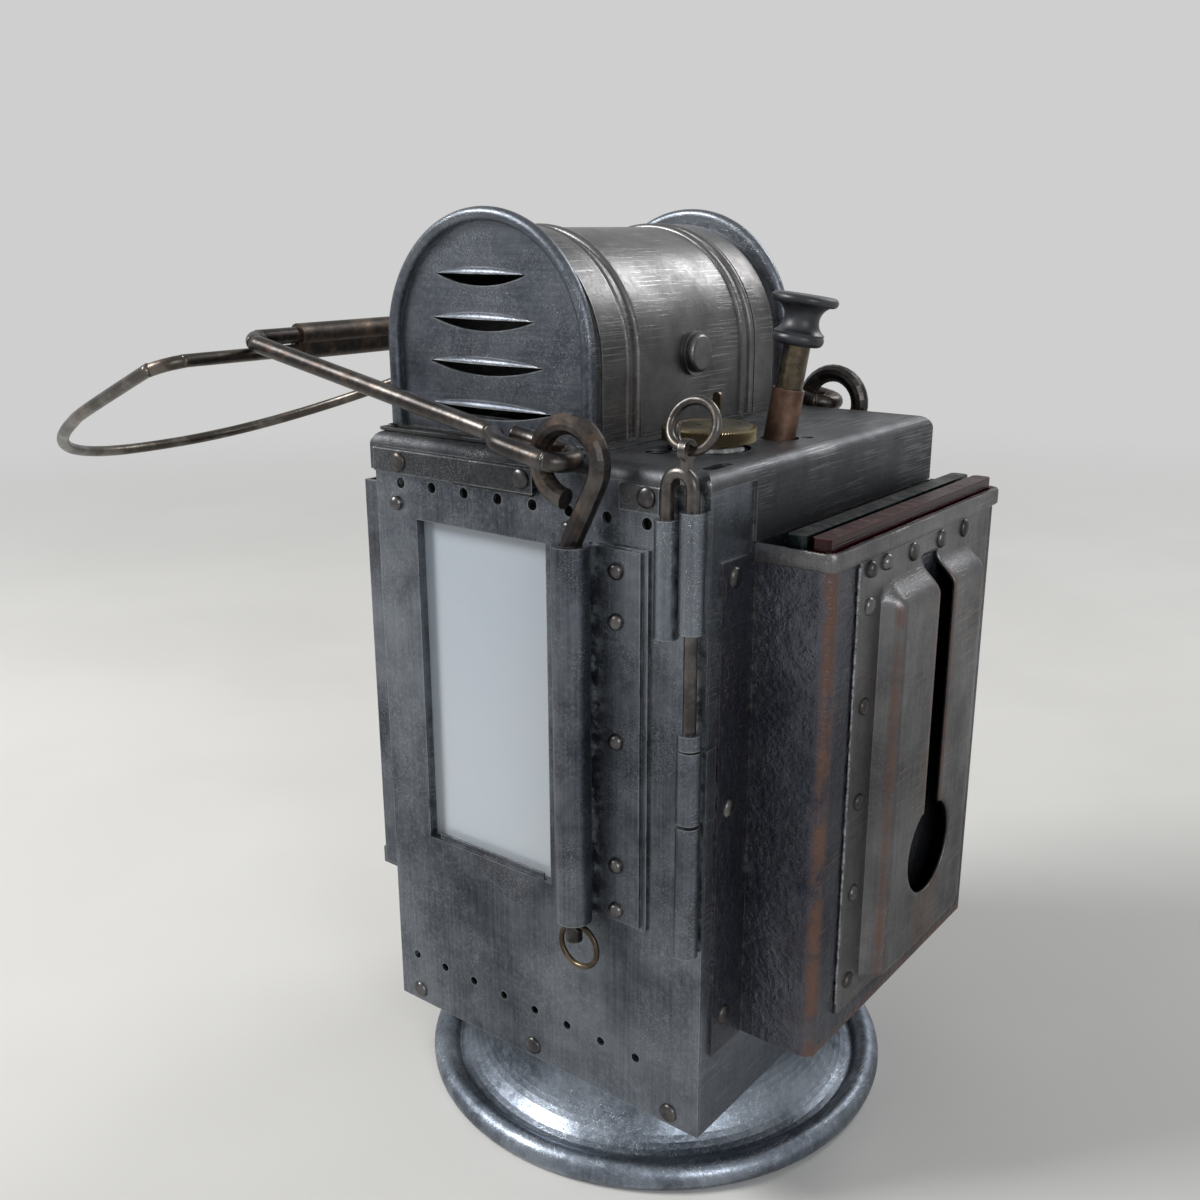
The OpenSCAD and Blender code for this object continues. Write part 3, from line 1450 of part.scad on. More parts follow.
module rear_door() {
    x0 = door_x0 - door_lap;
    x1 = door_x1 + door_lap;
    border = 3;
    color(steel) {
        block([x0, rear_y, door_bottom], [x1, rear_y + sheet, door_top]);
        difference() {
            block([x0, rear_y, door_bottom], [x1, rear_y + sheet + 0.6, door_top]);
            block([x0 + border, rear_y - cut, door_bottom + border],
                [x1 - border, rear_y + sheet + 1, door_top - border]);
        }
        difference() {
            for (z = [door_bottom + knuckle_h + air, door_top - 2 * knuckle_h - air])
                knuckle(z, z + knuckle_h, x0 - door_hinge_x + 1);
            door_bore();
        }
        translate([x1 - 7, rear_y + sheet, (door_bottom + door_top) / 2]) rotate([-90, 0, 0]) {
            cylinder(r = 1.6, h = 3.5);
            translate([0, 0, 3.5]) rivet(3.2, 1.6);
            translate([0, 0, 3]) cylinder(r = 3.2, h = 0.5);
        }
    }
}

// ---- rivets --------------------------------------------------------------

module body_rivets() {
    flat = 2.5;                   // radius of the large flat heads
    small = 1.75;                 // radius of the small domed heads
    flat_h = 0.8;
    small_h = 1.2;
    box_rivet_z = [box_z1 - 6, (box_z0 + box_z1 + 3) / 2, box_z0 + 9];
    color(steel) {
        for (s = [0, 1]) mirror([0, s, 0]) {
            on_front([[-43.1, body_base + 3.2], [-1.4, body_base + 3.2], [41.5, body_base + 3.2]], 0)
                rivet(flat, flat_h);
            on_front([[-42.9, top_vent_z - 5.2], [12.7, top_vent_z - 4]], 0) rivet(small, small_h);
            on_front([[-39.6, skirt_z + 3], [0.2, skirt_z + 3.4], [35.2, skirt_z + 3.4]], sheet + hem_t)
                rivet(flat, flat_h);
            on_front([for (d = [5.5, 17, 45.5, 76.6, 88.2]) [hinge_x + 9, sleeve_z1 - d]], 2 * sheet)
                rivet(small, small_h);
        }
        on_right([for (z = box_rivet_z) [min(strip_y0 + 5, (strip_y0 + box_y0) / 2), z]], right_x + sheet)
            rivet(flat, flat_h);
        on_right([for (i = [0:4]) [pan_y - pan_w / 2 - 5.5, pan_z1 - 5 - i * (pan_h - 9.5) / 4]], pan_x)
            rivet(2.2, flat_h);
        on_right([for (y = [-20, -12.5]) [y, box_z1 - box_rim_h - 3]], pan_x) rivet(small, small_h);
        on_right([for (y = [2, 17.5, 31.5]) [y, box_z1 - box_rim_h - 3.5]], pan_x) rivet(2.4, flat_h);
        translate([chimney_x - chimney_r + 2.4, front_y + 3.3, deck_z + base_t]) rivet(1.25, 0.7);
        for (z = box_rivet_z)
            translate([right_x - 6, rear_y + sheet, z]) rotate([-90, 0, 0]) rivet(flat, flat_h);
    }
}

foot();
floor_pan();
front_plate();
rear_wall();
signal_wall();
side_wall();
cap_deck();
vent_baffles();
chimney_base();
chimney_barrel();
chimney_front_plate();
chimney_rear_plate();
chimney_boss();
opal_pane();
pane_frame();
signal_lens();
lens_ring();
filter_guides();
guide_shelf();
filter_box();
box_guides();
hanger_pan();
front_sleeve();
rear_sleeve();
front_hook_rod();
rear_hook_rod();
pin_tubes();
pin_knuckle();
body_rivets();
filler_neck();
cap_click_spring();
key_guide();
water_tank();
drip_tube();
carbide_canister();
canister_lid();
gas_valve();
feed_tube();
gas_tube();
burner();
reflector();
reflector_bracket();
hinge_knuckles();
hinge_pin();
bail();
grip_sleeve();
hand_loop();
front_stop_ring();
rear_stop_ring();
pull_pin();
pull_ring();
filler_cap();
cap_needle();
key_knob();
key_rod();
valve_plunger();
valve_spring();
red_filter();
green_filter();
rear_door();
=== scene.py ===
# %% [markdown]
# # A gas signal lantern, dressed in Blender
# The imported CAD model brings every plate, wire and glass in its exact place. The scene
# keeps those shapes, gives each one the finish of the real piece, and adds what CAD leaves
# out: hand-bent wires, solder, dirt and painted shade in the corners, and worn edges. It
# could all be modelled again here, but then a hinge might miss its pin, so the frame stays.

# %% Load the frame
import math
import random
from functools import cached_property

import bmesh
import bpy
from mathutils import Euler, Matrix, Vector


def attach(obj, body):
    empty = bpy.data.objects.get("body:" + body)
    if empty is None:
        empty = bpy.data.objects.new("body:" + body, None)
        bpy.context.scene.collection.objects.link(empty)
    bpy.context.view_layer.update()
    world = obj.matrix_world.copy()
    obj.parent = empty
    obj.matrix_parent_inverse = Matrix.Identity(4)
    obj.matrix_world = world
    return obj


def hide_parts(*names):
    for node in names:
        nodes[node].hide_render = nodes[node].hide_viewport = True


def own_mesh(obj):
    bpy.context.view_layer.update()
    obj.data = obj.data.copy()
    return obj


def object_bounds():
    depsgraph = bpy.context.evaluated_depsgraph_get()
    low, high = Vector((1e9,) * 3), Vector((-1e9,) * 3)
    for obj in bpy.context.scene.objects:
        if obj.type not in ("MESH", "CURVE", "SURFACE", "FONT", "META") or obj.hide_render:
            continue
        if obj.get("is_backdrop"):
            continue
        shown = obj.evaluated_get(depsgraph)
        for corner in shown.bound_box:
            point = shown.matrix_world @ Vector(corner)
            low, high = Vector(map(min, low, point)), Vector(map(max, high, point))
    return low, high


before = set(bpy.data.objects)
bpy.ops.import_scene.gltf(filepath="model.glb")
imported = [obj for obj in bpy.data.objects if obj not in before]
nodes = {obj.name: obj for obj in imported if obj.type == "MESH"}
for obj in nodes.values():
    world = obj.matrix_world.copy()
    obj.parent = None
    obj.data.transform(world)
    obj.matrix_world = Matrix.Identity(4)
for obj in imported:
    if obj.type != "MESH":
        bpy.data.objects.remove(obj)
cad_box = [list(corner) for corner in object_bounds()]
MM = 0.001

# %% [markdown]
# ## The view
# The photograph was taken from a little above the deck, with the window plate on the
# left and the filter box on the right. A camera can be placed by eye, but a fit of the
# body's corners gives its angles and distance to the millimetre, so those numbers are
# used. The lens sees 50 degrees, like a phone held close.

# %% Camera
CAMERA_PLACE = (0.18746, -0.26599, 0.23123)
CAMERA_AZIMUTH, CAMERA_ELEVATION, CAMERA_ROLL = 37.962, 16.424, -0.217
CAMERA_LENS = 37.93


def make_camera():
    """The photograph's camera, looking down on the lantern's right front corner."""
    camera = bpy.data.objects.new("camera", bpy.data.cameras.new("camera"))
    camera.data.sensor_width = 36
    camera.data.lens = CAMERA_LENS
    camera.data.clip_start, camera.data.clip_end = 0.01, 50
    turn = Euler((math.radians(90 - CAMERA_ELEVATION), 0, math.radians(CAMERA_AZIMUTH)))
    roll = Matrix.Rotation(math.radians(CAMERA_ROLL), 3, "Z")
    camera.matrix_world = Matrix.Translation(CAMERA_PLACE) @ (turn.to_matrix() @ roll).to_4x4()
    bpy.context.scene.collection.objects.link(camera)
    return camera


scene = bpy.context.scene
scene.camera = make_camera()
scene.view_settings.view_transform = "Standard"
print("camera at", [round(v, 3) for v in scene.camera.location])

# %% [markdown]
# ## Shader maths as sentences
# A finish is a sum of many small things: tone, grain, scratches, dirt and painted shade.
# Linking dozens of nodes by hand hides the idea, and one big node group is hard to read. So
# a socket is wrapped in a small class, and `0.4 + 0.2 * grain` builds its own Math nodes.
# Colours and vectors go through Mix and Vector Math, because a Math node would turn them grey.

# %% A socket that does sums
class Signal:
    """An output socket of a finish, which can be added, multiplied and so on."""

    def __init__(self, finish, socket):
        self.finish = finish
        self.socket = socket

    def sums(self, operation, first, second):
        return self.finish.node("ShaderNodeMath", {"operation": operation}, {0: first, 1: second})

    def __add__(self, other):
        return self.sums("ADD", self, other)

    def __radd__(self, other):
        return self.sums("ADD", other, self)

    def __sub__(self, other):
        return self.sums("SUBTRACT", self, other)

    def __rsub__(self, other):
        return self.sums("SUBTRACT", other, self)

    def __mul__(self, other):
        return self.sums("MULTIPLY", self, other)

    def __rmul__(self, other):
        return self.sums("MULTIPLY", other, self)

    def most(self, other):
        return self.sums("MAXIMUM", self, other)

    def window(self, low, high):
        """0 below low, 1 above high, and a smooth step between them."""
        return self.finish.node("ShaderNodeMapRange", {"interpolation_type": "SMOOTHSTEP"},
                                {"Value": self, "From Min": low, "From Max": high})


print("a signal can be added, subtracted, multiplied and windowed")

# %% [markdown]
# ## A finish as a sheet of nodes
# A material, or the world, is one tree of nodes. Every node comes from the same method,
# which takes its kind, then its settings, then what its sockets get. That keeps each
# finish below to the lines that say something about tin, brass or glass.

# %% A finish and its nodes
class Finish:
    """A material or world under construction, in the coordinates of the whole lantern."""

    def __init__(self, name, owner=None):
        self.owner = owner or bpy.data.materials.new(name)
        self.owner.use_nodes = True
        self.tree = self.owner.node_tree
        self.tree.nodes.clear()

    @cached_property
    def place(self):
        """Where a point lies on the lantern at rest, in metres."""
        return self.node("ShaderNodeTexCoord", {}, {}, "Object")

    def node(self, kind, settings, sockets, output=0):
        """Adds a node: its settings first, then the values or links of its sockets."""
        made = self.tree.nodes.new(kind)
        for key, value in settings.items():
            setattr(made, key, value)
        for key, value in sockets.items():
            if isinstance(value, Signal):
                self.tree.links.new(value.socket, made.inputs[key])
            else:
                made.inputs[key].default_value = value
        return Signal(self, made.outputs[output])

    def mix(self, amount, first, second):
        """The first colour where amount is 0, the second where it is 1."""
        colours = {"Factor": amount}
        for slot, colour in ((6, first), (7, second)):
            colours[slot] = colour if isinstance(colour, Signal) else (*colour, 1)
        return self.node("ShaderNodeMix", {"data_type": "RGBA"}, colours, 2)

    def stretch(self, scale, turn=(0, 0, 0)):
        """The lantern's coordinates, turned in degrees and scaled."""
        return self.node("ShaderNodeMapping", {},
                         {"Vector": self.place, "Scale": scale,
                          "Rotation": [math.radians(a) for a in turn]})

    def noise(self, scale, detail=3, rough=0.5, vector=None):
        return self.node("ShaderNodeTexNoise", {},
                         {"Vector": vector or self.place, "Scale": scale,
                          "Detail": detail, "Roughness": rough})

    def bump(self, height, depth, normal=None):
        """A normal that follows a height from 0 to 1, which is depth metres at most."""
        sockets = {"Height": height, "Distance": depth, "Strength": 1.0}
        if normal is not None:
            sockets["Normal"] = normal
        return self.node("ShaderNodeBump", {}, sockets)

    def end(self, shader, output="ShaderNodeOutputMaterial"):
        """Feeds a shader to the output, and returns the material or world."""
        last = self.tree.nodes.new(output)
        self.tree.links.new(shader.socket, last.inputs["Surface"])
        return self.owner

    def close(self, **sockets):
        """Ends a material in one Principled shader with these sockets."""
        named = {key.replace("_", " "): value for key, value in sockets.items()}
        return self.end(self.node("ShaderNodeBsdfPrincipled", {}, named))


print("finishes can be built from nodes")

# %% [markdown]
# ## What old tinned sheet looks like
# The plates are tinned steel, handled and polished for a century. From far they are a
# cloudy blue grey. Closer, fine scratches cross them in every direction, edges are rubbed
# bright or gone brown, and in the corners beside rivets and seams a chalky bloom has
# grown. A photograph on the surface could show all that, but only from one side. Here
# each effect is its own mask, made from noise or from the shape itself.

# %% Masks that every metal shares
def cloud(f, scale, detail=4, rough=0.55, low=0.38, high=0.62):
    """Soft patches, 0 to 1."""
    return f.noise(scale, detail, rough).window(low, high)


def scratches(f, turn, fineness, width=0.03):
    """Thin straight scratches along one turned direction, broken up by patches."""
    along = f.noise(1, 1, 0.5, f.stretch((fineness, 45, fineness), turn))
    return along.window(0.68 - width, 0.68) * cloud(f, 55, 2, 0.5, 0.42, 0.6)


def all_scratches(f):
    """Scratches in three directions, laid over each other."""
    first = scratches(f, (12, 25, 8), 3400)
    second = scratches(f, (75, -20, 40), 2900)
    third = scratches(f, (-38, 70, -25), 3900)
    return first.most(second).most(third)


def nook(f, reach, low=0.25, high=0.85):
    """1 in corners and beside anything that stands within reach, 0 in the open."""
    light = f.node("ShaderNodeAmbientOcclusion", {"samples": 6}, {"Distance": reach}, 1)
    return (1 - light).window(low, high)


def sharp_edge(f, radius=0.0007):
    """1 along outer and inner edges, found by rounding them a little."""
    rounded = f.node("ShaderNodeBevel", {"samples": 6}, {"Radius": radius})
    flat = f.node("ShaderNodeNewGeometry", {}, {}, "Normal")
    same = f.node("ShaderNodeVectorMath", {"operation": "DOT_PRODUCT"}, {0: rounded, 1: flat}, "Value")
    return (1 - same).window(0.01, 0.22)


def across(f, axis, low, high):
    """0 below low and 1 above high along X, Y or Z, in millimetres."""
    along = f.node("ShaderNodeSeparateXYZ", {}, {"Vector": f.place}, "XYZ".index(axis))
    return along.window(low * MM, high * MM)


print("masks: cloud, scratches, nook, sharp edge and place")

# %% [markdown]
# ## The finish of sheet metal
# One recipe serves every plate: a dark and a light tone of tin, mixed by clouds, by
# vertical brushing and by the small crystals that hot tin leaves as it cools. Then come
# scratches, rubbed edges, brown stains, chalky bloom and, last, dirt with painted shade in
# the corners. A separate material for each plate would give more control, but the plates
# were made from one sheet and aged together, so they should share their recipe and differ
# in numbers.

# %% The recipe
DUST = (0.33, 0.355, 0.38)
SHADE_AND_SOOT = (0.012, 0.011, 0.011)
# Near black, painted into corners and crevices as shade, with some soot
STAIN = (0.105, 0.050, 0.028)
BARE_IRON = (0.125, 0.062, 0.040)
GRIT = 0.00005  # metres that tone, scratches and chalk stand out
FINE = 1300     # brushing marks, as noise scale across them


def worn_sheet(name, dark, light, rough, bloom=0.6, brown=0.15, bright=0.6, grain=(1, 1, 0.02),
               edge=(0.42, 0.43, 0.44), dents=0.0005, cloudy=15, crystals=0.4, brush=0.2,
               rubbed=None, pebble=0.0):
    """Old tinned or galvanised sheet, from its darkest to its lightest tone."""
    f = Finish(name)
    brushed = f.noise(1, 4, 0.65, f.stretch([FINE * g for g in grain])).window(0.3, 0.7)
    crystal = f.noise(900, 5, 0.75).window(0.47, 0.66)
    patches = cloud(f, cloudy, 4)
    blotches = cloud(f, cloudy * 6, 6, 0.68, 0.34, 0.66)
    tone = (0.6 - 0.5 * brush) * patches + (0.4 - 0.5 * brush) * blotches + brush * brushed
    tone = tone + crystals * crystal * (0.25 + 0.5 * cloud(f, cloudy * 2.3, 3))
    lines = all_scratches(f)
    rub = sharp_edge(f) * cloud(f, 170, 4, 0.6, 0.3, 0.55)
    chalk = nook(f, 0.005) * cloud(f, 260, 6, 0.75, 0.42, 0.62) * bloom
    # Painted shade with some dirt: near black and matte in corners and crevices, from occlusion
    shade_and_dirt = nook(f, 0.0016, 0.45, 0.95) * cloud(f, 130, 3, 0.6, 0.35, 0.65)
    stain = cloud(f, 26, 6, 0.7, 0.55, 0.75) * brown
    colour = f.mix(tone, dark, light)
    colour = f.mix(lines * 0.32, colour, edge)
    colour = f.mix(stain, colour, STAIN)
    colour = f.mix(rub * bright, colour, edge)
    if rubbed is not None:
        bands = rubbed(f) * 0.85
        stain = stain.most(bands)
        colour = f.mix(bands, colour, BARE_IRON)
    colour = f.mix(chalk, colour, DUST)
    colour = f.mix(shade_and_dirt * 0.85, colour, SHADE_AND_SOOT)
    metal = 0.95 - 0.7 * chalk - 0.6 * shade_and_dirt - 0.45 * stain
    shine = rough + 0.2 * (1 - tone) + 0.3 * chalk + 0.2 * shade_and_dirt - 0.12 * lines
    sheet = f.bump(cloud(f, 13, 2, 0.4, 0.25, 0.75), dents)
    if pebble:
        sheet = f.bump(f.noise(430, 3, 0.6).window(0.3, 0.7), pebble, sheet)
    grit = tone * 0.5 + lines * -0.3 + chalk * 0.6 + crystal * 0.3
    return f.close(Base_Color=colour, Metallic=metal, Roughness=shine,
                   Normal=f.bump(grit, GRIT, sheet))


print("one recipe for every plate")

# %% [markdown]
# ## Where hands and pockets rubbed
# The filter box and its hanger pan stick out most, so their corners were rubbed down to
# brown iron in bands 2 or 3 mm wide. The rounding trick above only finds sharp folds, so
# these bands are told by their place on the lantern, broken up by clouds.

# %% Brown bands on the box and the pan
def box_bands(f):
    """The box's outer corners and foot."""
    outer = across(f, "X", 66.8, 68.6)
    ends = (1 - across(f, "Y", -34.5, -31.5)).most(across(f, "Y", 49.5, 52))
    foot = 1 - across(f, "Z", 44, 47.5)
    return outer * ends.most(foot) * cloud(f, 150, 5, 0.7, 0.28, 0.6)


def pan_bands(f):
    """The pan's two long edges and its foot, and the lips beside the slot."""
    proud = across(f, "X", 72.8, 74.2)
    sides = (1 - across(f, "Y", -12.5, -9.5)).most(across(f, "Y", 32.5, 35.5))
    slot = across(f, "Y", 3.5, 6.2) * (1 - across(f, "Y", 16.8, 19.5))
    foot = 1 - across(f, "Z", 53.5, 57.5)
    return proud * sides.most(slot * 0.6).most(foot) * cloud(f, 120, 5, 0.7, 0.3, 0.62)


print("bands: box and pan")

# %% [markdown]
# ## The plates one by one
# The body is the bluest plate and has most chalk. The deck is dull from soot, the barrel
# warm and smooth from heat, the box and the pan brown at their corners, and the foot is
# zinc dipped, with large pale flowers. Each is the recipe with its own numbers.

# %% Finishes of the plates
UPRIGHT, ALONG, LEVEL = (1, 1, 0.03), (1, 0.03, 1), (0.03, 1, 1)  # which way a plate was brushed
finishes = {
    "body sheet": worn_sheet("body sheet", (0.021, 0.025, 0.034), (0.190, 0.210, 0.240), 0.27,
                             bloom=0.8, bright=0.5),
    "deck sheet": worn_sheet("deck sheet", (0.018, 0.019, 0.022), (0.100, 0.104, 0.112), 0.42,
                             brown=0.2, bright=0.5, grain=ALONG, crystals=0.2),
    "box sheet": worn_sheet("box sheet", (0.022, 0.026, 0.038), (0.105, 0.112, 0.135), 0.29,
                            bloom=0.5, brown=0.25, grain=UPRIGHT, edge=(0.25, 0.17, 0.13),
                            rubbed=box_bands, pebble=0.00016),
    "pan sheet": worn_sheet("pan sheet", (0.045, 0.046, 0.050), (0.175, 0.176, 0.182), 0.28,
                            bloom=0.7, brown=0.25, edge=(0.28, 0.20, 0.16), crystals=0.2,
                            rubbed=pan_bands),
    "end plate sheet": worn_sheet("end plate sheet", (0.028, 0.034, 0.046), (0.175, 0.192, 0.220),
                                  0.27, bloom=0.5, brown=0.25, bright=0.8, grain=LEVEL),
    "barrel sheet": worn_sheet("barrel sheet", (0.048, 0.047, 0.049), (0.165, 0.163, 0.164), 0.30,
                               bloom=0.35, brown=0.35, grain=ALONG, crystals=0.15, brush=0.08),
    "foot sheet": worn_sheet("foot sheet", (0.050, 0.062, 0.082), (0.30, 0.34, 0.40), 0.27,
                             bloom=0.3, brown=0.05, grain=(0.5, 0.5, 0.2), dents=0.0008, cloudy=34),
    # Pale tin for baffles, tank and canister; on the baffles it also stands for light seen through the
    # vents, painted light
    "bright tin and vent light": worn_sheet("bright tin and vent light", (0.36, 0.36, 0.35), (0.60, 0.60, 0.58), 0.35,
                             bloom=0.2, brown=0.1, bright=0.5, crystals=0.1),
}
print("sheet finishes:", sorted(finishes))

# %% [markdown]
# ## Drawn wire, brass and copper
# The handles are iron wire, dark brown grey and smooth from the hand, with rust where
# two wires rub. Brass and copper parts have a brown skin that is rubbed through on every
# raised edge. The recipe stays the same as for the sheets, with other colours, because
# the wear has the same causes.

# %% Wire, brass and copper
RUST = (0.12, 0.06, 0.03)


def worn_metal(name, skin, worn, rough, rust, open_up=0.5):
    """A dark skin that is rubbed through in patches and along the edges."""
    f = Finish(name)
    patches = cloud(f, 90, 5, 0.65, 0.42, 0.66)
    speckle = f.noise(750, 3, 0.6)
    rub = (sharp_edge(f, 0.0005) * 0.9).most(patches * open_up)
    touching = nook(f, 0.006, 0.3, 0.7) * cloud(f, 260, 4)
    red = (cloud(f, 210, 6, 0.7, 0.5, 0.68) * rust).most(touching * rust * 2)
    # Painted shade with some dirt: darker in corners and crevices, from occlusion
    shade_and_dirt = nook(f, 0.002, 0.4, 0.95)
    colour = f.mix(rub, skin, worn)
    colour = f.mix(red, colour, RUST)
    colour = f.mix(shade_and_dirt * 0.7, colour, SHADE_AND_SOOT)
    metal = 0.95 - 0.7 * red - 0.5 * shade_and_dirt
    shine = rough + 0.25 * red + 0.1 * speckle - 0.1 * rub
    return f.close(Base_Color=colour, Metallic=metal, Roughness=shine,
                   Normal=f.bump(speckle * 0.6 + red * 0.4, 0.00007))


metals = {
    "dark wire": ((0.034, 0.031, 0.030), (0.150, 0.140, 0.132), 0.30, 0.35),
    "loop wire": ((0.060, 0.054, 0.048), (0.250, 0.225, 0.200), 0.30, 0.25),
    "pin wire": ((0.050, 0.046, 0.044), (0.20, 0.19, 0.18), 0.30, 0.3),
    "rivet iron": ((0.050, 0.048, 0.049), (0.25, 0.245, 0.245), 0.28, 0.25),
    "grip tin": ((0.045, 0.040, 0.037), (0.185, 0.145, 0.115), 0.40, 0.55),
    "aged brass": ((0.095, 0.078, 0.048), (0.31, 0.26, 0.16), 0.34, 0.15),
    "pale brass": ((0.20, 0.17, 0.11), (0.50, 0.46, 0.34), 0.32, 0.15),
    "ring brass": ((0.060, 0.048, 0.034), (0.25, 0.205, 0.135), 0.32, 0.2),
    "brown copper": ((0.090, 0.054, 0.040), (0.30, 0.180, 0.125), 0.36, 0.3),
    "japanned rod": ((0.028, 0.026, 0.026), (0.40, 0.31, 0.18), 0.24, 0.1, 0.35),
}
for name, numbers in metals.items():
    finishes[name] = worn_metal(name, *numbers)
print("metal finishes:", len(metals))

# %% [markdown]
# ## Hard rubber, ceramic and glass
# The knob is turned hard rubber: nearly black, with a satin shine, and a painted sheen
# of lighter grey on the rim that fingers have polished. The opal pane is milk glass. Real
# light enters it and comes back out, but from outside it reads as a smooth bluish white, so
# a coated plain colour with painted light, a slow change of tone from top to foot, is
# enough. The filters are dark coloured glass, almost black until light passes through
# their edges, where that light is painted as a brighter colour.

# %% Rubber, ceramic and glass
def hard_rubber():
    f = Finish("hard rubber")
    touch = cloud(f, 160, 4)
    rub = sharp_edge(f, 0.0009)
    colour = f.mix(touch * 0.7, (0.012, 0.013, 0.017), (0.035, 0.036, 0.044))
    # Painted sheen: the rim is a lighter grey where fingers polished it
    colour = f.mix(rub * 0.5, colour, (0.09, 0.09, 0.10))
    return f.close(Base_Color=colour, Roughness=0.34 + 0.14 * touch,
                   Normal=f.bump(f.noise(1500, 2), 0.000015))


def soapstone():
    f = Finish("soapstone")
    spots = cloud(f, 300, 4)
    colour = f.mix(spots, (0.62, 0.58, 0.50), (0.75, 0.72, 0.65))
    return f.close(Base_Color=colour, Roughness=0.7 + 0.1 * spots, Normal=f.bump(spots, 0.00003))


def milk_glass():
    """The opal pane, with painted light and shade: greyer at its top and whiter at its foot."""
    f = Finish("milk glass")
    # Painted light and shade: whiter towards the foot, greyer towards the top
    low = 1 - across(f, "Z", 70, 170)
    smear = cloud(f, 38, 5, 0.6, 0.35, 0.7)
    colour = f.mix(low, (0.35, 0.395, 0.455), (0.43, 0.475, 0.52))
    colour = f.mix(smear * 0.15, colour, (0.47, 0.48, 0.48))
    return f.close(Base_Color=colour, Roughness=0.16 + 0.1 * smear, Coat_Weight=0.4 - 0.15 * smear)


def cast_glass(name, colour, deep):
    """Thick coloured glass with faint waves, dust on it, painted light on its edges and a chipped top."""
    f = Finish(name)
    dust = cloud(f, 120, 6, 0.7, 0.5, 0.72)
    rim = sharp_edge(f, 0.0006)
    chips = f.noise(1, 3, 0.6, f.stretch((240, 900, 240))).window(0.5, 0.62)
    top = across(f, "Z", 168.3, 168.5)
    # Painted light: the edges take the brighter colour, as if light passed through them
    body = f.mix(rim * 0.7, deep, colour)
    body = f.mix(dust * 0.1, body, (0.20, 0.18, 0.18))
    body = f.mix(top * chips * 0.3, body, (0.20, 0.15, 0.15))
    return f.close(Base_Color=body, Roughness=0.08 + 0.3 * dust + 0.3 * top, Specular_IOR_Level=0.22,
                   Normal=f.bump(f.noise(22, 2) + 1.5 * top * chips, 0.00006))


def clear_glass():
    f = Finish("lens glass")
    dust = cloud(f, 90, 5, 0.65, 0.45, 0.75)
    colour = f.mix(dust, (0.80, 0.88, 0.90), (0.66, 0.70, 0.70))
    return f.close(Base_Color=colour, Roughness=0.04 + 0.12 * dust, Transmission_Weight=0.9,
                   Normal=f.bump(f.noise(30, 2), 0.00003))


def mirror_metal():
    f = Finish("mirror metal")
    haze = cloud(f, 60, 5)
    colour = f.mix(haze, (0.78, 0.79, 0.80), (0.62, 0.62, 0.60))
    return f.close(Base_Color=colour, Metallic=1.0, Roughness=0.08 + 0.2 * haze)


finishes.update({
    "hard rubber": hard_rubber(),
    "soapstone": soapstone(),
    "milk glass": milk_glass(),
    # Each glass: its painted lit-edge colour, then its own deep colour
    "red glass": cast_glass("red glass", (0.10, 0.006, 0.008), (0.020, 0.0012, 0.002)),
    "green glass": cast_glass("green glass", (0.010, 0.050, 0.042), (0.002, 0.006, 0.007)),
    "lens glass": clear_glass(),
    "mirror metal": mirror_metal(),
})
print("all finishes:", len(finishes))

# %% [markdown]
# ## Dressing the CAD nodes
# Each node gets its finish by name, so a new part of the lantern is one more word in a
# list. The meshes come in with their shading, smooth over round faces and sharp at folds,
# so nothing but their material slot is filled.

# %% Which node wears what
dressed = {
    "body sheet": ["floor_pan", "front_plate", "rear_wall", "signal_wall", "side_wall", "front_sleeve",
                   "rear_sleeve", "pin_tubes", "pin_knuckle", "filter_guides", "guide_shelf", "lens_ring",
                   "pane_frame", "rear_door", "hinge_knuckles", "reflector_bracket", "box_guides"],
    "rivet iron": ["body_rivets"],
    "deck sheet": ["cap_deck", "chimney_base"],
    "box sheet": ["filter_box"],
    "pan sheet": ["hanger_pan"],
    "end plate sheet": ["chimney_front_plate", "chimney_rear_plate"],
    "barrel sheet": ["chimney_barrel", "chimney_boss"],
    "foot sheet": ["foot"],
    # The baffles' pale finish is partly painted light seen through the vent holes
    "bright tin and vent light": ["vent_baffles", "water_tank", "carbide_canister"],
    "dark wire": ["front_hook_rod", "rear_hook_rod", "bail", "hinge_pin", "valve_spring"],
    "loop wire": ["hand_loop"],
    "pin wire": ["pull_pin", "pull_ring"],
    "grip tin": ["grip_sleeve"],
    "aged brass": ["filler_cap", "cap_needle", "cap_click_spring", "canister_lid", "gas_valve",
                   "valve_plunger"],
    "ring brass": ["front_stop_ring", "rear_stop_ring"],
    "pale brass": ["filler_neck"],
    "brown copper": ["key_guide", "drip_tube", "feed_tube", "gas_tube"],
    "japanned rod": ["key_rod"],
    "hard rubber": ["key_knob"],
    "soapstone": ["burner"],
    "milk glass": ["opal_pane"],
    "red glass": ["red_filter"],
    "green glass": ["green_filter"],
    "lens glass": ["signal_lens"],
    "mirror metal": ["reflector"],
}
for finish, names in dressed.items():
    for name in names:
        mesh = nodes[name].data
        mesh.materials.clear()
        mesh.materials.append(finishes[finish])
bare = sorted(set(nodes) - {n for names in dressed.values() for n in names})
print("dressed:", sum(map(len, dressed.values())), "without a finish:", bare)

# %% [markdown]
# ## Pieces from rings of points
# Wire, rivet heads, the knurled cap and the box's rim are all runs of rings: a ring of
# points, then the next, joined by four-sided faces. One helper joins them, and another
# turns the mesh into a piece with its finish, the body that it rides and the CAD node
# that it stands for. A modifier could skin a line too, but rings keep every point known.

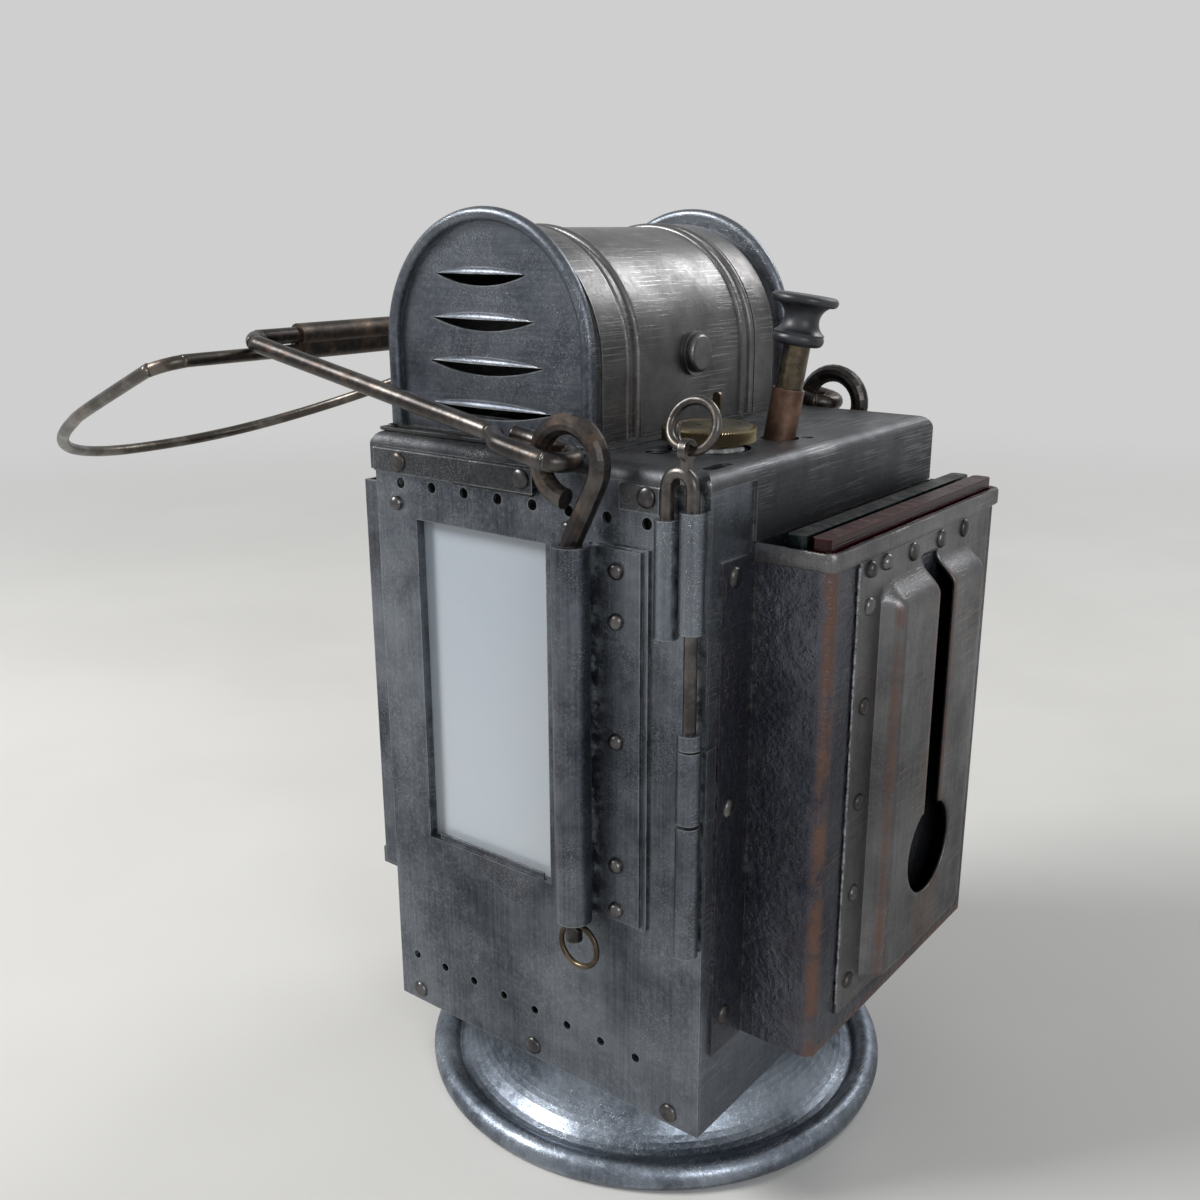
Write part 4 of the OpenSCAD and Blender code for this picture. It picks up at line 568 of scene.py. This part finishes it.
# %% Rings, shading and linking
def join_rings(mesh, rings, closed=False):
    """Joins rings of points with faces, and shuts the two ends of an open run."""
    count, sides = len(rings), len(rings[0])
    for i in range(count if closed else count - 1):
        here, there = rings[i], rings[(i + 1) % count]
        for k in range(sides):
            after = (k + 1) % sides
            mesh.faces.new((here[k], here[after], there[after], there[k]))
    if not closed:
        mesh.faces.new(rings[0][::-1])
        mesh.faces.new(rings[-1])


def shade_round(mesh, fold):
    """Shades a mesh smooth, but sharp at edges that fold by more than fold degrees."""
    for face in mesh.faces:
        face.smooth = True
    for edge in mesh.edges:
        joins = len(edge.link_faces) == 2
        edge.smooth = not (joins and edge.calc_face_angle() > math.radians(fold))


def link_piece(name, mesh, finish, body, stands_for=None, fold=None):
    """Turns a mesh under construction into a piece that rides a body."""
    bmesh.ops.recalc_face_normals(mesh, faces=mesh.faces)
    if fold:
        shade_round(mesh, fold)
    data = bpy.data.meshes.new(name)
    mesh.to_mesh(data)
    mesh.free()
    data.materials.append(finishes[finish])
    piece = bpy.data.objects.new(name, data)
    scene.collection.objects.link(piece)
    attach(piece, body)
    if stands_for:
        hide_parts(stands_for)
    return piece


print("pieces can be linked")

# %% [markdown]
# ## Wire bent by hand
# The handle and the hand loop were bent cold from drawn iron wire, so their bends are
# soft and the wire is a little uneven. A curve with a round bevel would do, but a tube of
# rings made point by point lets the thickness wander as hammer and vice left it. The
# routes repeat the CAD model's own sizes, so the eyes still hang in the hooks.

# %% A tube along a route
def smooth_route(points, steps, closed=False):
    """Passes a soft curve through the points, with some steps between each two."""
    count = len(points)
    route = []
    for i in range(count if closed else count - 1):
        around = [points[(i + k) % count] if closed else points[min(max(i + k, 0), count - 1)]
                  for k in (-1, 0, 1, 2)]
        before, here, there, after = map(Vector, around)
        bow = 2 * before - 5 * here + 4 * there - after
        twist = 3 * here - before - 3 * there + after
        for k in range(steps):
            t = k / steps
            route.append(0.5 * (2 * here + (there - before) * t + bow * t * t + twist * t ** 3))
    if not closed:
        route.append(Vector(points[-1]))
    return route


def bend(centre, radius, start, stop, steps):
    """Points of an arc in a plane, angles in degrees."""
    angles = [math.radians(start + (stop - start) * i / steps) for i in range(steps + 1)]
    return [(centre[0] + radius * math.cos(a), centre[1] + radius * math.sin(a)) for a in angles]


def wire_mesh(route, radius, closed=False, sides=16, uneven=0.02, seed=1):
    """A round wire along the route, in metres, whose thickness wanders a little."""
    chance = random.Random(seed)
    count = len(route)
    mesh = bmesh.new()
    rings = []
    side = None
    thick = 0.0
    for i, point in enumerate(route):
        back = route[i - 1] if i or closed else point
        ahead = route[(i + 1) % count] if i < count - 1 or closed else point
        along = (ahead - back).normalized()
        side = along.orthogonal() if side is None else side - along * side.dot(along)
        side.normalize()
        other = along.cross(side)
        thick = 0.8 * thick + 0.5 * chance.uniform(-1, 1)
        r = radius * (1 + uneven * thick)
        rings.append([mesh.verts.new(point + side * r * math.cos(a) + other * r * math.sin(a))
                      for a in (math.tau * k / sides for k in range(sides))])
    join_rings(mesh, rings, closed)
    for face in mesh.faces:
        face.smooth = len(face.verts) == 4
    return mesh


print("wire tools ready")

# %% [markdown]
# ## The handle
# One wire makes both arms, both eyes and the grip's core. Each eye is turned round a peg
# and its end laid back along the arm. The route is drawn flat, as a distance out from the
# hooks and a distance across, for the front half only, and then mirrored.

# %% Bending the handle
HINGE = Vector((18, 0, 183.2))
LIE = math.radians(10.7)  # the handle's slope at rest
ARM, EYE_R, GRIP = -59.3, 4.9, 110.4
NECK, CORNER_R = 24, 6
HANDLE_R = 2.2 * MM
GRIP_SPOTS = (-30, 0, 30)


def on_handle(out, side, up=0.0):
    """A point given along the handle's arms, across them and above them, in millimetres."""
    return MM * (HINGE + Vector((-out * math.cos(LIE) + up * math.sin(LIE), side,
                                 out * math.sin(LIE) + up * math.cos(LIE))))


eye_end = [(20, ARM + 4), (16, ARM + EYE_R)]
eye = bend((EYE_R, ARM), EYE_R, 90, 270, 10)
neck = [(15, ARM - EYE_R), (18, ARM - EYE_R * 0.75), (21, ARM - EYE_R * 0.25), (NECK, ARM)]
arm = [(NECK + (GRIP - CORNER_R - NECK) * k / 4, ARM) for k in (1, 2, 3)]
elbow = bend((GRIP - CORNER_R, ARM + CORNER_R), CORNER_R, -90, 0, 6)
half_handle = eye_end + eye + neck + arm + elbow
grip_line = [(GRIP, y) for y in GRIP_SPOTS]
whole_handle = half_handle + grip_line + [(x, -y) for x, y in reversed(half_handle)]
handle_route = smooth_route([on_handle(x, y) for x, y in whole_handle], 4)
link_piece("bent_handle_wire", wire_mesh(handle_route, HANDLE_R, uneven=0.012, seed=4),
           "dark wire", "bail", "bail")
print("handle points:", len(whole_handle))

# %% [markdown]
# ## The hand loop
# The loop passes under the grip and sags away from it. Its far side is neither a circle
# nor a box but something between, which one power in the formula of an ellipse gives.

# %% Bending the hand loop
SWING = LIE + math.radians(20)
DROP, SHIFT = 4.2, -16
LOOP_DEPTH, LOOP_HALF, LOOP_BEND, LOOP_POWER = 118, 68, 9, 2.3
LOOP_R = 1.7 * MM

half_loop = bend((LOOP_BEND, LOOP_HALF - LOOP_BEND), LOOP_BEND, 180, 90, 6)
for k in range(10):
    t = math.radians(20 + 7 * k)
    half_loop.append((LOOP_DEPTH * math.sin(t) ** (2 / LOOP_POWER),
                      LOOP_HALF * math.cos(t) ** (2 / LOOP_POWER)))
half_loop.append((LOOP_DEPTH, 0))
whole_loop = half_loop + [(x, -y) for x, y in reversed(half_loop[:-1])]
loop_points = [on_handle(GRIP + x * math.cos(SWING), SHIFT + y, -DROP - x * math.sin(SWING))
               for x, y in whole_loop]
loop_points += [on_handle(GRIP, SHIFT + y, -DROP) for y in GRIP_SPOTS]
loop_route = smooth_route(loop_points, 5, closed=True)
link_piece("hand_loop_wire", wire_mesh(loop_route, LOOP_R, closed=True, uneven=0.015, seed=7),
           "loop wire", "hand_loop", "hand_loop")
print("loop points:", len(loop_points))

# %% [markdown]
# ## The pull ring
# The corner pin is drawn by a ring of wire, wound a turn and a quarter like a key ring,
# and hung in the pin's eye. A torus would look bought; the overlap of the two ends is
# what makes it look made.

# %% A ring wound by hand
RING_EYE = Vector((45.6, -55.4, 188.0))
RING_R, RING_WIRE, RING_LEAN = 5.3, 1.0, math.radians(20)
RING_START, RING_STEP, RING_STEPS = -95, 10, 45
SPREAD, TAIL, TAIL_FROM, TIGHTER = 2.3, 5.75, 0.8, 0.25

ring_points = []
for k in range(RING_STEPS + 1):
    angle, share = math.radians(RING_START + RING_STEP * k), k / RING_STEPS
    aside = SPREAD * (1 - share) ** 2 - TAIL * max(share - TAIL_FROM, 0)
    out = RING_R - TIGHTER * share
    flat = Vector((RING_R * math.sin(angle), aside, RING_R - out * math.cos(angle)))
    ring_points.append(MM * (RING_EYE + Matrix.Rotation(-RING_LEAN, 3, "X") @ flat))
ring_mesh = wire_mesh(smooth_route(ring_points, 2), RING_WIRE * MM, sides=12, uneven=0.03, seed=3)
link_piece("wound_pull_ring", ring_mesh, "pin wire", "pull_ring", "pull_ring")
print("ring points:", len(ring_points))

# %% [markdown]
# ## The knurled cap
# The filler is shut by a brass cap whose edge is cut with fine slanting teeth, so that
# wet fingers can turn it. Teeth could be painted as bumps, but they show against the dark
# deck, so each one is real: two points on every level of the edge, one out and one in,
# and every level turned a little further than the one below.

# %% Cutting the knurl
CAP_X, CAP_Y, CAP_FOOT, CAP_R, TEETH = 31.0, -25.0, 184.6, 10.8, 100
PLUG_R, TOOTH, KNURL_TOP, SLANT = 5.6, 0.45, 3.15, math.radians(16)
# Each level: radius between the teeth, radius on the teeth, height over the cap's foot
CAP_LEVELS = [
    (PLUG_R, PLUG_R, -3.0), (PLUG_R, PLUG_R, 0.0), (CAP_R - 1.1, CAP_R - 1.1, 0.0),
    (CAP_R - TOOTH, CAP_R, 0.25), (CAP_R - TOOTH, CAP_R, KNURL_TOP),
    (CAP_R - 1.0, CAP_R - 0.9, 3.6), (CAP_R - 1.7, CAP_R - 1.7, 3.85),
    (7.2, 7.2, 3.9), (6.9, 6.9, 3.75), (3.0, 3.0, 3.8), (2.7, 2.7, 4.0)]

cap_mesh = bmesh.new()
cap_rings = []
for between, tooth, height in CAP_LEVELS:
    ring = []
    for k in range(2 * TEETH):
        r = tooth if k % 2 else between
        a = math.tau * k / (2 * TEETH) + SLANT * height / KNURL_TOP
        point = Vector((CAP_X + r * math.cos(a), CAP_Y + r * math.sin(a), CAP_FOOT + height))
        ring.append(cap_mesh.verts.new(MM * point))
    cap_rings.append(ring)
join_rings(cap_mesh, cap_rings)
link_piece("knurled_cap", cap_mesh, "aged brass", "filler_cap", "filler_cap")
print("teeth:", TEETH)

# %% [markdown]
# ## Solder, lime and grime
# Seams were closed with soft solder run in by hand, which leaves a lumpy bright bead.
# Spent carbide left a white crust of lime round the filler, and soot and grease set hard
# along the hems. All three are the same form, a bead that swells and shrinks along a
# line, so one helper makes them and only the finish and the size change.

# %% Finishes of the beads
def crust(name, dark, light, rough, metal):
    """A grainy finish whose lumps catch the light."""
    f = Finish(name)
    grain = cloud(f, 700, 4, 0.7, 0.35, 0.65)
    return f.close(Base_Color=f.mix(grain, dark, light), Roughness=rough + 0.15 * grain, Metallic=metal,
                   Normal=f.bump(f.noise(1100, 4, 0.7), 0.0002))


finishes["solder"] = crust("solder", (0.10, 0.105, 0.11), (0.34, 0.35, 0.37), 0.34, 0.9)
finishes["lime"] = crust("lime", (0.20, 0.21, 0.21), (0.55, 0.56, 0.55), 0.80, 0.0)
finishes["grime"] = crust("grime", (0.008, 0.008, 0.008), (0.045, 0.042, 0.040), 0.70, 0.0)

# %% Laying the beads
def lumpy_line(start, stop, size, seed, lumps):
    """A line between two points, in millimetres, that strays by a little of its size."""
    chance = random.Random(seed)
    stray = size * 0.35
    route = []
    for i in range(lumps + 1):
        wander = Vector([chance.uniform(-1, 1) * stray for _ in range(3)])
        route.append(MM * (Vector(start).lerp(Vector(stop), i / lumps) + wander * 0.5))
    return route


def lay_bead(name, route, size, finish, seed, uneven):
    """A bead along a route in metres, with its half thickness in millimetres."""
    mesh = wire_mesh(route, size * MM, sides=8, uneven=uneven, seed=seed)
    link_piece(name, mesh, finish, "lantern_body")


# Each seam: where it starts and stops, its size, what fills it, its seed and its lumps
seams = {
    "solder_pan_seam": ((70.0, -24.7, 53), (70.0, -24.7, 161), 0.35, "solder", 11, 110),
    "grime_barrel_foot": ((13.0, -40, 183.9), (13.0, 31, 183.9), 0.45, "grime", 12, 70),
    "grime_front_foot": ((-47, -48.6, 183.9), (13, -48.6, 183.9), 0.4, "grime", 13, 60),
    "grime_base_edge": ((-49, -51.1, 183.2), (16, -51.1, 183.2), 0.3, "grime", 14, 60),
    "grime_front_hem": ((-22, -53.9, 173.2), (3, -53.9, 173.2), 0.4, "grime", 15, 36),
    "solder_tube_wing": ((44.0, -53.9, 149.6), (44.0, -53.9, 175), 0.35, "solder", 16, 30),
}
for name, (start, stop, size, finish, seed, lumps) in seams.items():
    lay_bead(name, lumpy_line(start, stop, size, seed, lumps), size, finish, seed, 0.35)

LIME_REACH, LIME_HEIGHT, LIME_SIZE = 9.0, 183.55, 0.62
lime_route = [MM * Vector((x, y, LIME_HEIGHT))
              for x, y in bend((CAP_X, CAP_Y), LIME_REACH, -115, 1, 29)]
lay_bead("lime_crust", lime_route, LIME_SIZE, "lime", 9, 0.3)
print("beads:", len(seams) + 1)

# %% [markdown]
# ## Rivet heads
# Every rivet was closed with a hand hammer, so no two heads are alike: each is a low dome
# with a flat struck on it. The CAD model has them as turned domes. Their places and sizes
# are read from that mesh, island by island, so no place is written twice, and a rougher
# head is set on each.

# %% Finding the rivets
def islands(mesh):
    """The separate lumps of a mesh, each as its lowest and highest corner."""
    seen = set()
    for first in mesh.verts:
        if first in seen:
            continue
        seen.add(first)
        lump, edge = [first], [first]
        while edge:
            for link in edge.pop().link_edges:
                for vertex in link.verts:
                    if vertex not in seen:
                        seen.add(vertex)
                        lump.append(vertex)
                        edge.append(vertex)
        yield tuple(Vector([pick(v.co[i] for v in lump) for i in range(3)]) for pick in (min, max))


turned = bmesh.new()
turned.from_mesh(nodes["body_rivets"].data)
bmesh.ops.remove_doubles(turned, verts=turned.verts, dist=0.001 * MM)
rivet_boxes = list(islands(turned))
turned.free()
print("rivets:", len(rivet_boxes))

# %% Hammering the heads
HEAD_SIDES = 20
HEAD_LEVELS = ((1.0, -0.5), (1.0, 0.12), (0.94, 0.42), (0.78, 0.72), (0.52, 0.93), (0.26, 1.0))
DOME_FROM = 1 * MM  # a rivet that stands higher than this is a dome, a lower one is flat


def rivet_head(mesh, foot, out, radius, height, chance):
    """One dome with a flat struck on it, standing on its foot."""
    right = out.orthogonal().normalized()
    up = out.cross(right)
    struck = Vector((chance.uniform(-0.25, 0.25), chance.uniform(-0.25, 0.25))) * radius
    rings = []
    for share, rise in HEAD_LEVELS:
        ring = []
        for k in range(HEAD_SIDES):
            angle = math.tau * k / HEAD_SIDES
            r = radius * share * (1 + 0.03 * math.sin(3 * angle + struck.x * 9000))
            side = right * (r * math.cos(angle) + struck.x * (1 - share))
            side += up * (r * math.sin(angle) + struck.y * (1 - share))
            ring.append(mesh.verts.new(foot + side + out * height * rise))
        rings.append(ring)
    join_rings(mesh, rings)


heads = bmesh.new()
chance = random.Random(21)
for low, high in rivet_boxes:
    size, middle = high - low, (low + high) / 2
    axis = min(range(3), key=lambda i: size[i])
    out = Vector((0, 0, 0))
    out[axis] = 1 if middle[axis] > 0 else -1
    spread = 1.14 if size[axis] > DOME_FROM else 0.96
    foot = middle - out * size[axis] / 2
    rivet_head(heads, foot, out, max(size) / 2 * spread, size[axis] * 1.3, chance)
link_piece("hammered_rivets", heads, "rivet iron", "lantern_body", "body_rivets",
           fold=60)
print("heads hammered")

# %% [markdown]
# ## The valve spring
# A real spring shortens when the key is pressed; the CAD model's keeps its length. The
# piece that stands for it has the same coils, in a mesh of its own.

# %% A spring of its own
coils = bmesh.new()
coils.from_mesh(nodes["valve_spring"].data)
spring = link_piece("giving_valve_spring", coils, "dark wire", "lantern_body",
                    "valve_spring", fold=40)
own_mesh(spring)

# %% [markdown]
# ## The hanger pan
# The pan that slips over a belt plate was pressed from one sheet: its walls slope, its
# bends are round, and its mouth runs down to the box in a soft shoulder. The CAD model
# has the same pan with square walls. A bevel can't give the slope, so the pressed face is
# a grid whose points are lifted by how far they lie from the pan's edge, and the keyhole
# is cut by leaving faces out and drawing the points beside it onto its edge.

# %% The shape of the pressing
PAN_MIDDLE, PAN_HALF, PAN_FOOT, PAN_MOUTH = 11.5, 25.5, 52.5, 156.0
PAN_BACK, PAN_LIFT, PAN_SLOPE, PAN_CORNER, PAN_CROWN = 70.0, 4.9, 3.6, 4.0, 0.25
SLOT_HALF, HOLE_R, HOLE_Z = 4.5, 12.0, 81.5


def soft_step(t):
    """0 to 1 with level ends."""
    t = min(max(t, 0), 1)
    return t * t * (3 - 2 * t)


def pan_lift(y, z):
    """How far the pressed face stands out at a place, in millimetres."""
    side = PAN_HALF - abs(y - PAN_MIDDLE)
    low, high = z - PAN_FOOT, PAN_MOUTH - z
    if side < PAN_CORNER and low < PAN_CORNER:
        side = low = PAN_CORNER - math.hypot(PAN_CORNER - side, PAN_CORNER - low)
    if side < PAN_CORNER and high < PAN_CORNER:
        side = high = PAN_CORNER - math.hypot(PAN_CORNER - side, PAN_CORNER - high)
    wall = soft_step(min(side, low) / PAN_SLOPE) * soft_step(high / (2 * PAN_SLOPE))
    crown = PAN_CROWN * math.cos((y - PAN_MIDDLE) / PAN_HALF * math.pi / 2) * wall
    return PAN_LIFT * wall + crown


def in_keyhole(y, z):
    beside = abs(y - PAN_MIDDLE)
    return (beside < SLOT_HALF and z > HOLE_Z) or math.hypot(beside, z - HOLE_Z) < HOLE_R


print("lift in the middle:", round(pan_lift(PAN_MIDDLE, HOLE_Z), 2), "mm")

# %% Pressing the pan
FLANGE_Y, FLANGE_Z = (-24.5, 47.5), (50.0, 162.5)
GRID_STEP, GRID_ROWS, PAN_SHEET = 0.9, 120, 0.8 * MM
SLOT_EDGES = {PAN_MIDDLE - SLOT_HALF, PAN_MIDDLE + SLOT_HALF}
NEAR_HOLE = HOLE_R + 1.6  # points of the cut edge within this are drawn onto the hole
HOLE_SHOULDER = 10.5      # height over the hole's middle where the slot takes over

steps = {round(FLANGE_Y[0] + GRID_STEP * k, 2) for k in range(81)}
spaced = {y for y in steps if all(abs(y - edge) > 0.4 for edge in SLOT_EDGES)}
columns = sorted(spaced | SLOT_EDGES | {FLANGE_Y[1]})
rows = [FLANGE_Z[0] + (FLANGE_Z[1] - FLANGE_Z[0]) * k / GRID_ROWS for k in range(GRID_ROWS + 1)]
sheet = bmesh.new()
grid = [[sheet.verts.new((0, y, z)) for y in columns] for z in rows]
for low, high in zip(grid, grid[1:]):
    for k in range(len(columns) - 1):
        corners = (low[k], low[k + 1], high[k + 1], high[k])
        centre = sum((v.co for v in corners), Vector()) / 4
        if not in_keyhole(centre.y, centre.z) or centre.z > PAN_MOUTH + 1:
            sheet.faces.new(corners)
bmesh.ops.delete(sheet, geom=[v for v in sheet.verts if not v.link_faces], context="VERTS")
for vertex in sheet.verts:
    y, z = vertex.co.y - PAN_MIDDLE, vertex.co.z - HOLE_Z
    reach = math.hypot(y, z)
    on_hole = z < HOLE_SHOULDER or abs(y) > SLOT_HALF + 0.1
    if vertex.is_boundary and 0.5 * HOLE_R < reach < NEAR_HOLE and on_hole:
        vertex.co.y, vertex.co.z = PAN_MIDDLE + y * HOLE_R / reach, HOLE_Z + z * HOLE_R / reach
for vertex in sheet.verts:
    x, y, z = vertex.co
    vertex.co = MM * Vector((PAN_BACK + pan_lift(y, z), y, z))
pan = link_piece("pressed_hanger_pan", sheet, "pan sheet", "lantern_body", "hanger_pan",
                 fold=40)
thickness = pan.modifiers.new("sheet", "SOLIDIFY")
thickness.thickness, thickness.offset = PAN_SHEET, 0
print("pan faces:", len(pan.data.polygons))

# %% [markdown]
# ## The folded rim of the filter box
# The box's mouth is stiffened by a fold of its own sheet, rounded over and polished by
# the filters that pass it. It is a strip with a rounded section, led round the three open
# sides, with a soft corner where the two plates meet.

# %% Folding the rim
RIM_X, RIM_Y, RIM_Z = (51.2, 70.0), (-36.2, 53.8), (161.9, 166.0)
RIM_CORNER, RIM_PROUD, RIM_BACK = 2.6, 0.75, -0.5

front_bend = bend((RIM_X[1] - RIM_CORNER, RIM_Y[0] + RIM_CORNER), RIM_CORNER, -90, 0, 6)
rear_bend = bend((RIM_X[1] - RIM_CORNER, RIM_Y[1] - RIM_CORNER), RIM_CORNER, 0, 90, 6)
plan = [(RIM_X[0], RIM_Y[0])] + front_bend + rear_bend + [(RIM_X[0], RIM_Y[1])]
# The section: how far out it stands from the plan, and its height
section = [(RIM_BACK, RIM_Z[0]), (0.45, RIM_Z[0]), (RIM_PROUD, RIM_Z[0] + 0.4),
           (RIM_PROUD, RIM_Z[1] - 0.6), (0.45, RIM_Z[1] - 0.1), (0.0, RIM_Z[1]),
           (RIM_BACK, RIM_Z[1] - 0.2)]
rim = bmesh.new()
rim_rings = []
for i, (x, y) in enumerate(plan):
    back, ahead = plan[max(i - 1, 0)], plan[min(i + 1, len(plan) - 1)]
    along = Vector((ahead[0] - back[0], ahead[1] - back[1])).normalized()
    rim_rings.append([rim.verts.new(MM * Vector((x + along.y * out, y - along.x * out, z)))
                      for out, z in section])
join_rings(rim, rim_rings)
link_piece("folded_box_rim", rim, "pan sheet", "lantern_body", fold=40)
print("rim points:", len(plan))

# %% [markdown]
# ## The studio
# The lantern stands on a pale floor in soft light, like a piece in a catalogue. A floor
# that ends at the horizon would draw a line behind it. A curved backdrop hides that from
# one side only, so the floor's own finish fades with distance into the background's
# colour instead. Metal shows what is around it, so the world is pale for the camera, for
# reflections and for light through glass, and dimmer as a lamp.

# %% World
BACKDROP = (0.62, 0.625, 0.62)
AS_LAMP = 0.40


def seen_strength(f):
    """1 where the camera, metal or glass looks at it, and less where it is only a lamp."""
    camera, gloss, glass = (f.node("ShaderNodeLightPath", {}, {}, ray)
                            for ray in ("Is Camera Ray", "Is Glossy Ray", "Is Transmission Ray"))
    return AS_LAMP + (1 - AS_LAMP) * (camera + gloss + glass).window(0, 1)


def make_world():
    """A world in the backdrop's colour."""
    f = Finish("studio", bpy.data.worlds.new("studio"))
    sky = f.node("ShaderNodeBackground", {}, {"Color": (*BACKDROP, 1), "Strength": seen_strength(f)})
    scene.world = f.end(sky, "ShaderNodeOutputWorld")


make_world()
print("world:", scene.world.name)

# %% Floor
FLOOR_HALF, FADE_FROM, FADE_TO = 8, 0.3, 1.3


def make_floor():
    """A pale floor that keeps the shadow and fades into the background further out."""
    f = Finish("pale floor")
    mottle = cloud(f, 6, 3)
    paper = f.node("ShaderNodeBsdfPrincipled", {}, {
        "Base Color": f.mix(mottle, (0.64, 0.635, 0.62), (0.67, 0.665, 0.65)), "Roughness": 0.8})
    glow = f.node("ShaderNodeEmission", {}, {"Color": (*BACKDROP, 1), "Strength": seen_strength(f)})
    away = f.node("ShaderNodeVectorMath", {"operation": "LENGTH"}, {0: f.place}, "Value")
    both = f.node("ShaderNodeMixShader", {}, {0: away.window(FADE_FROM, FADE_TO), 1: paper, 2: glow})
    mesh = bpy.data.meshes.new("floor")
    corners = [(x * FLOOR_HALF, y * FLOOR_HALF, 0) for x, y in ((-1, -1), (1, -1), (1, 1), (-1, 1))]
    mesh.from_pydata(corners, [], [(0, 1, 2, 3)])
    mesh.materials.append(f.end(both))
    floor = bpy.data.objects.new("floor", mesh)
    scene.collection.objects.link(floor)
    floor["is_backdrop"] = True


make_floor()
print("floor:", 2 * FLOOR_HALF, "m wide")

# %% [markdown]
# ## Lamps
# Three round lamps: a large one like a window at the left, a weak one from the right that
# opens the shadows on the filter box, and one behind that draws the rims of the chimney.
# Small hard lamps would make the old tin glitter, so each is half a metre across.

# %% Lamps
def area_lamp(name, place, watts, colour=(1, 1, 1)):
    """A round lamp that looks at the middle of the lantern."""
    lamp = bpy.data.objects.new(name, bpy.data.lights.new(name, "AREA"))
    lamp.data.shape = "DISK"
    lamp.data.size = 0.5
    lamp.data.energy = watts
    lamp.data.color = colour
    lamp.location = place
    lamp.rotation_mode = "QUATERNION"
    lamp.rotation_quaternion = (Vector((0, 0, 0.12)) - Vector(place)).to_track_quat("-Z", "Y")
    scene.collection.objects.link(lamp)


area_lamp("window light", (-0.75, -0.75, 0.95), 17, (1, 0.99, 0.97))
area_lamp("room light", (0.95, -0.55, 0.55), 4, (0.96, 0.98, 1))
area_lamp("back light", (0.25, 0.95, 0.9), 5)

# %% [markdown]
# ## Measuring at the end
# The dressed lantern must keep the size of the CAD model, so both boxes are measured and
# the growth between them is printed.

# %% Size and finish
seen_box = [list(corner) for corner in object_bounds()]
growth = [(new - old) / MM for seen, cad in zip(seen_box, cad_box) for new, old in zip(seen, cad)]
print("grows by mm:", [round(g, 2) for g in growth])
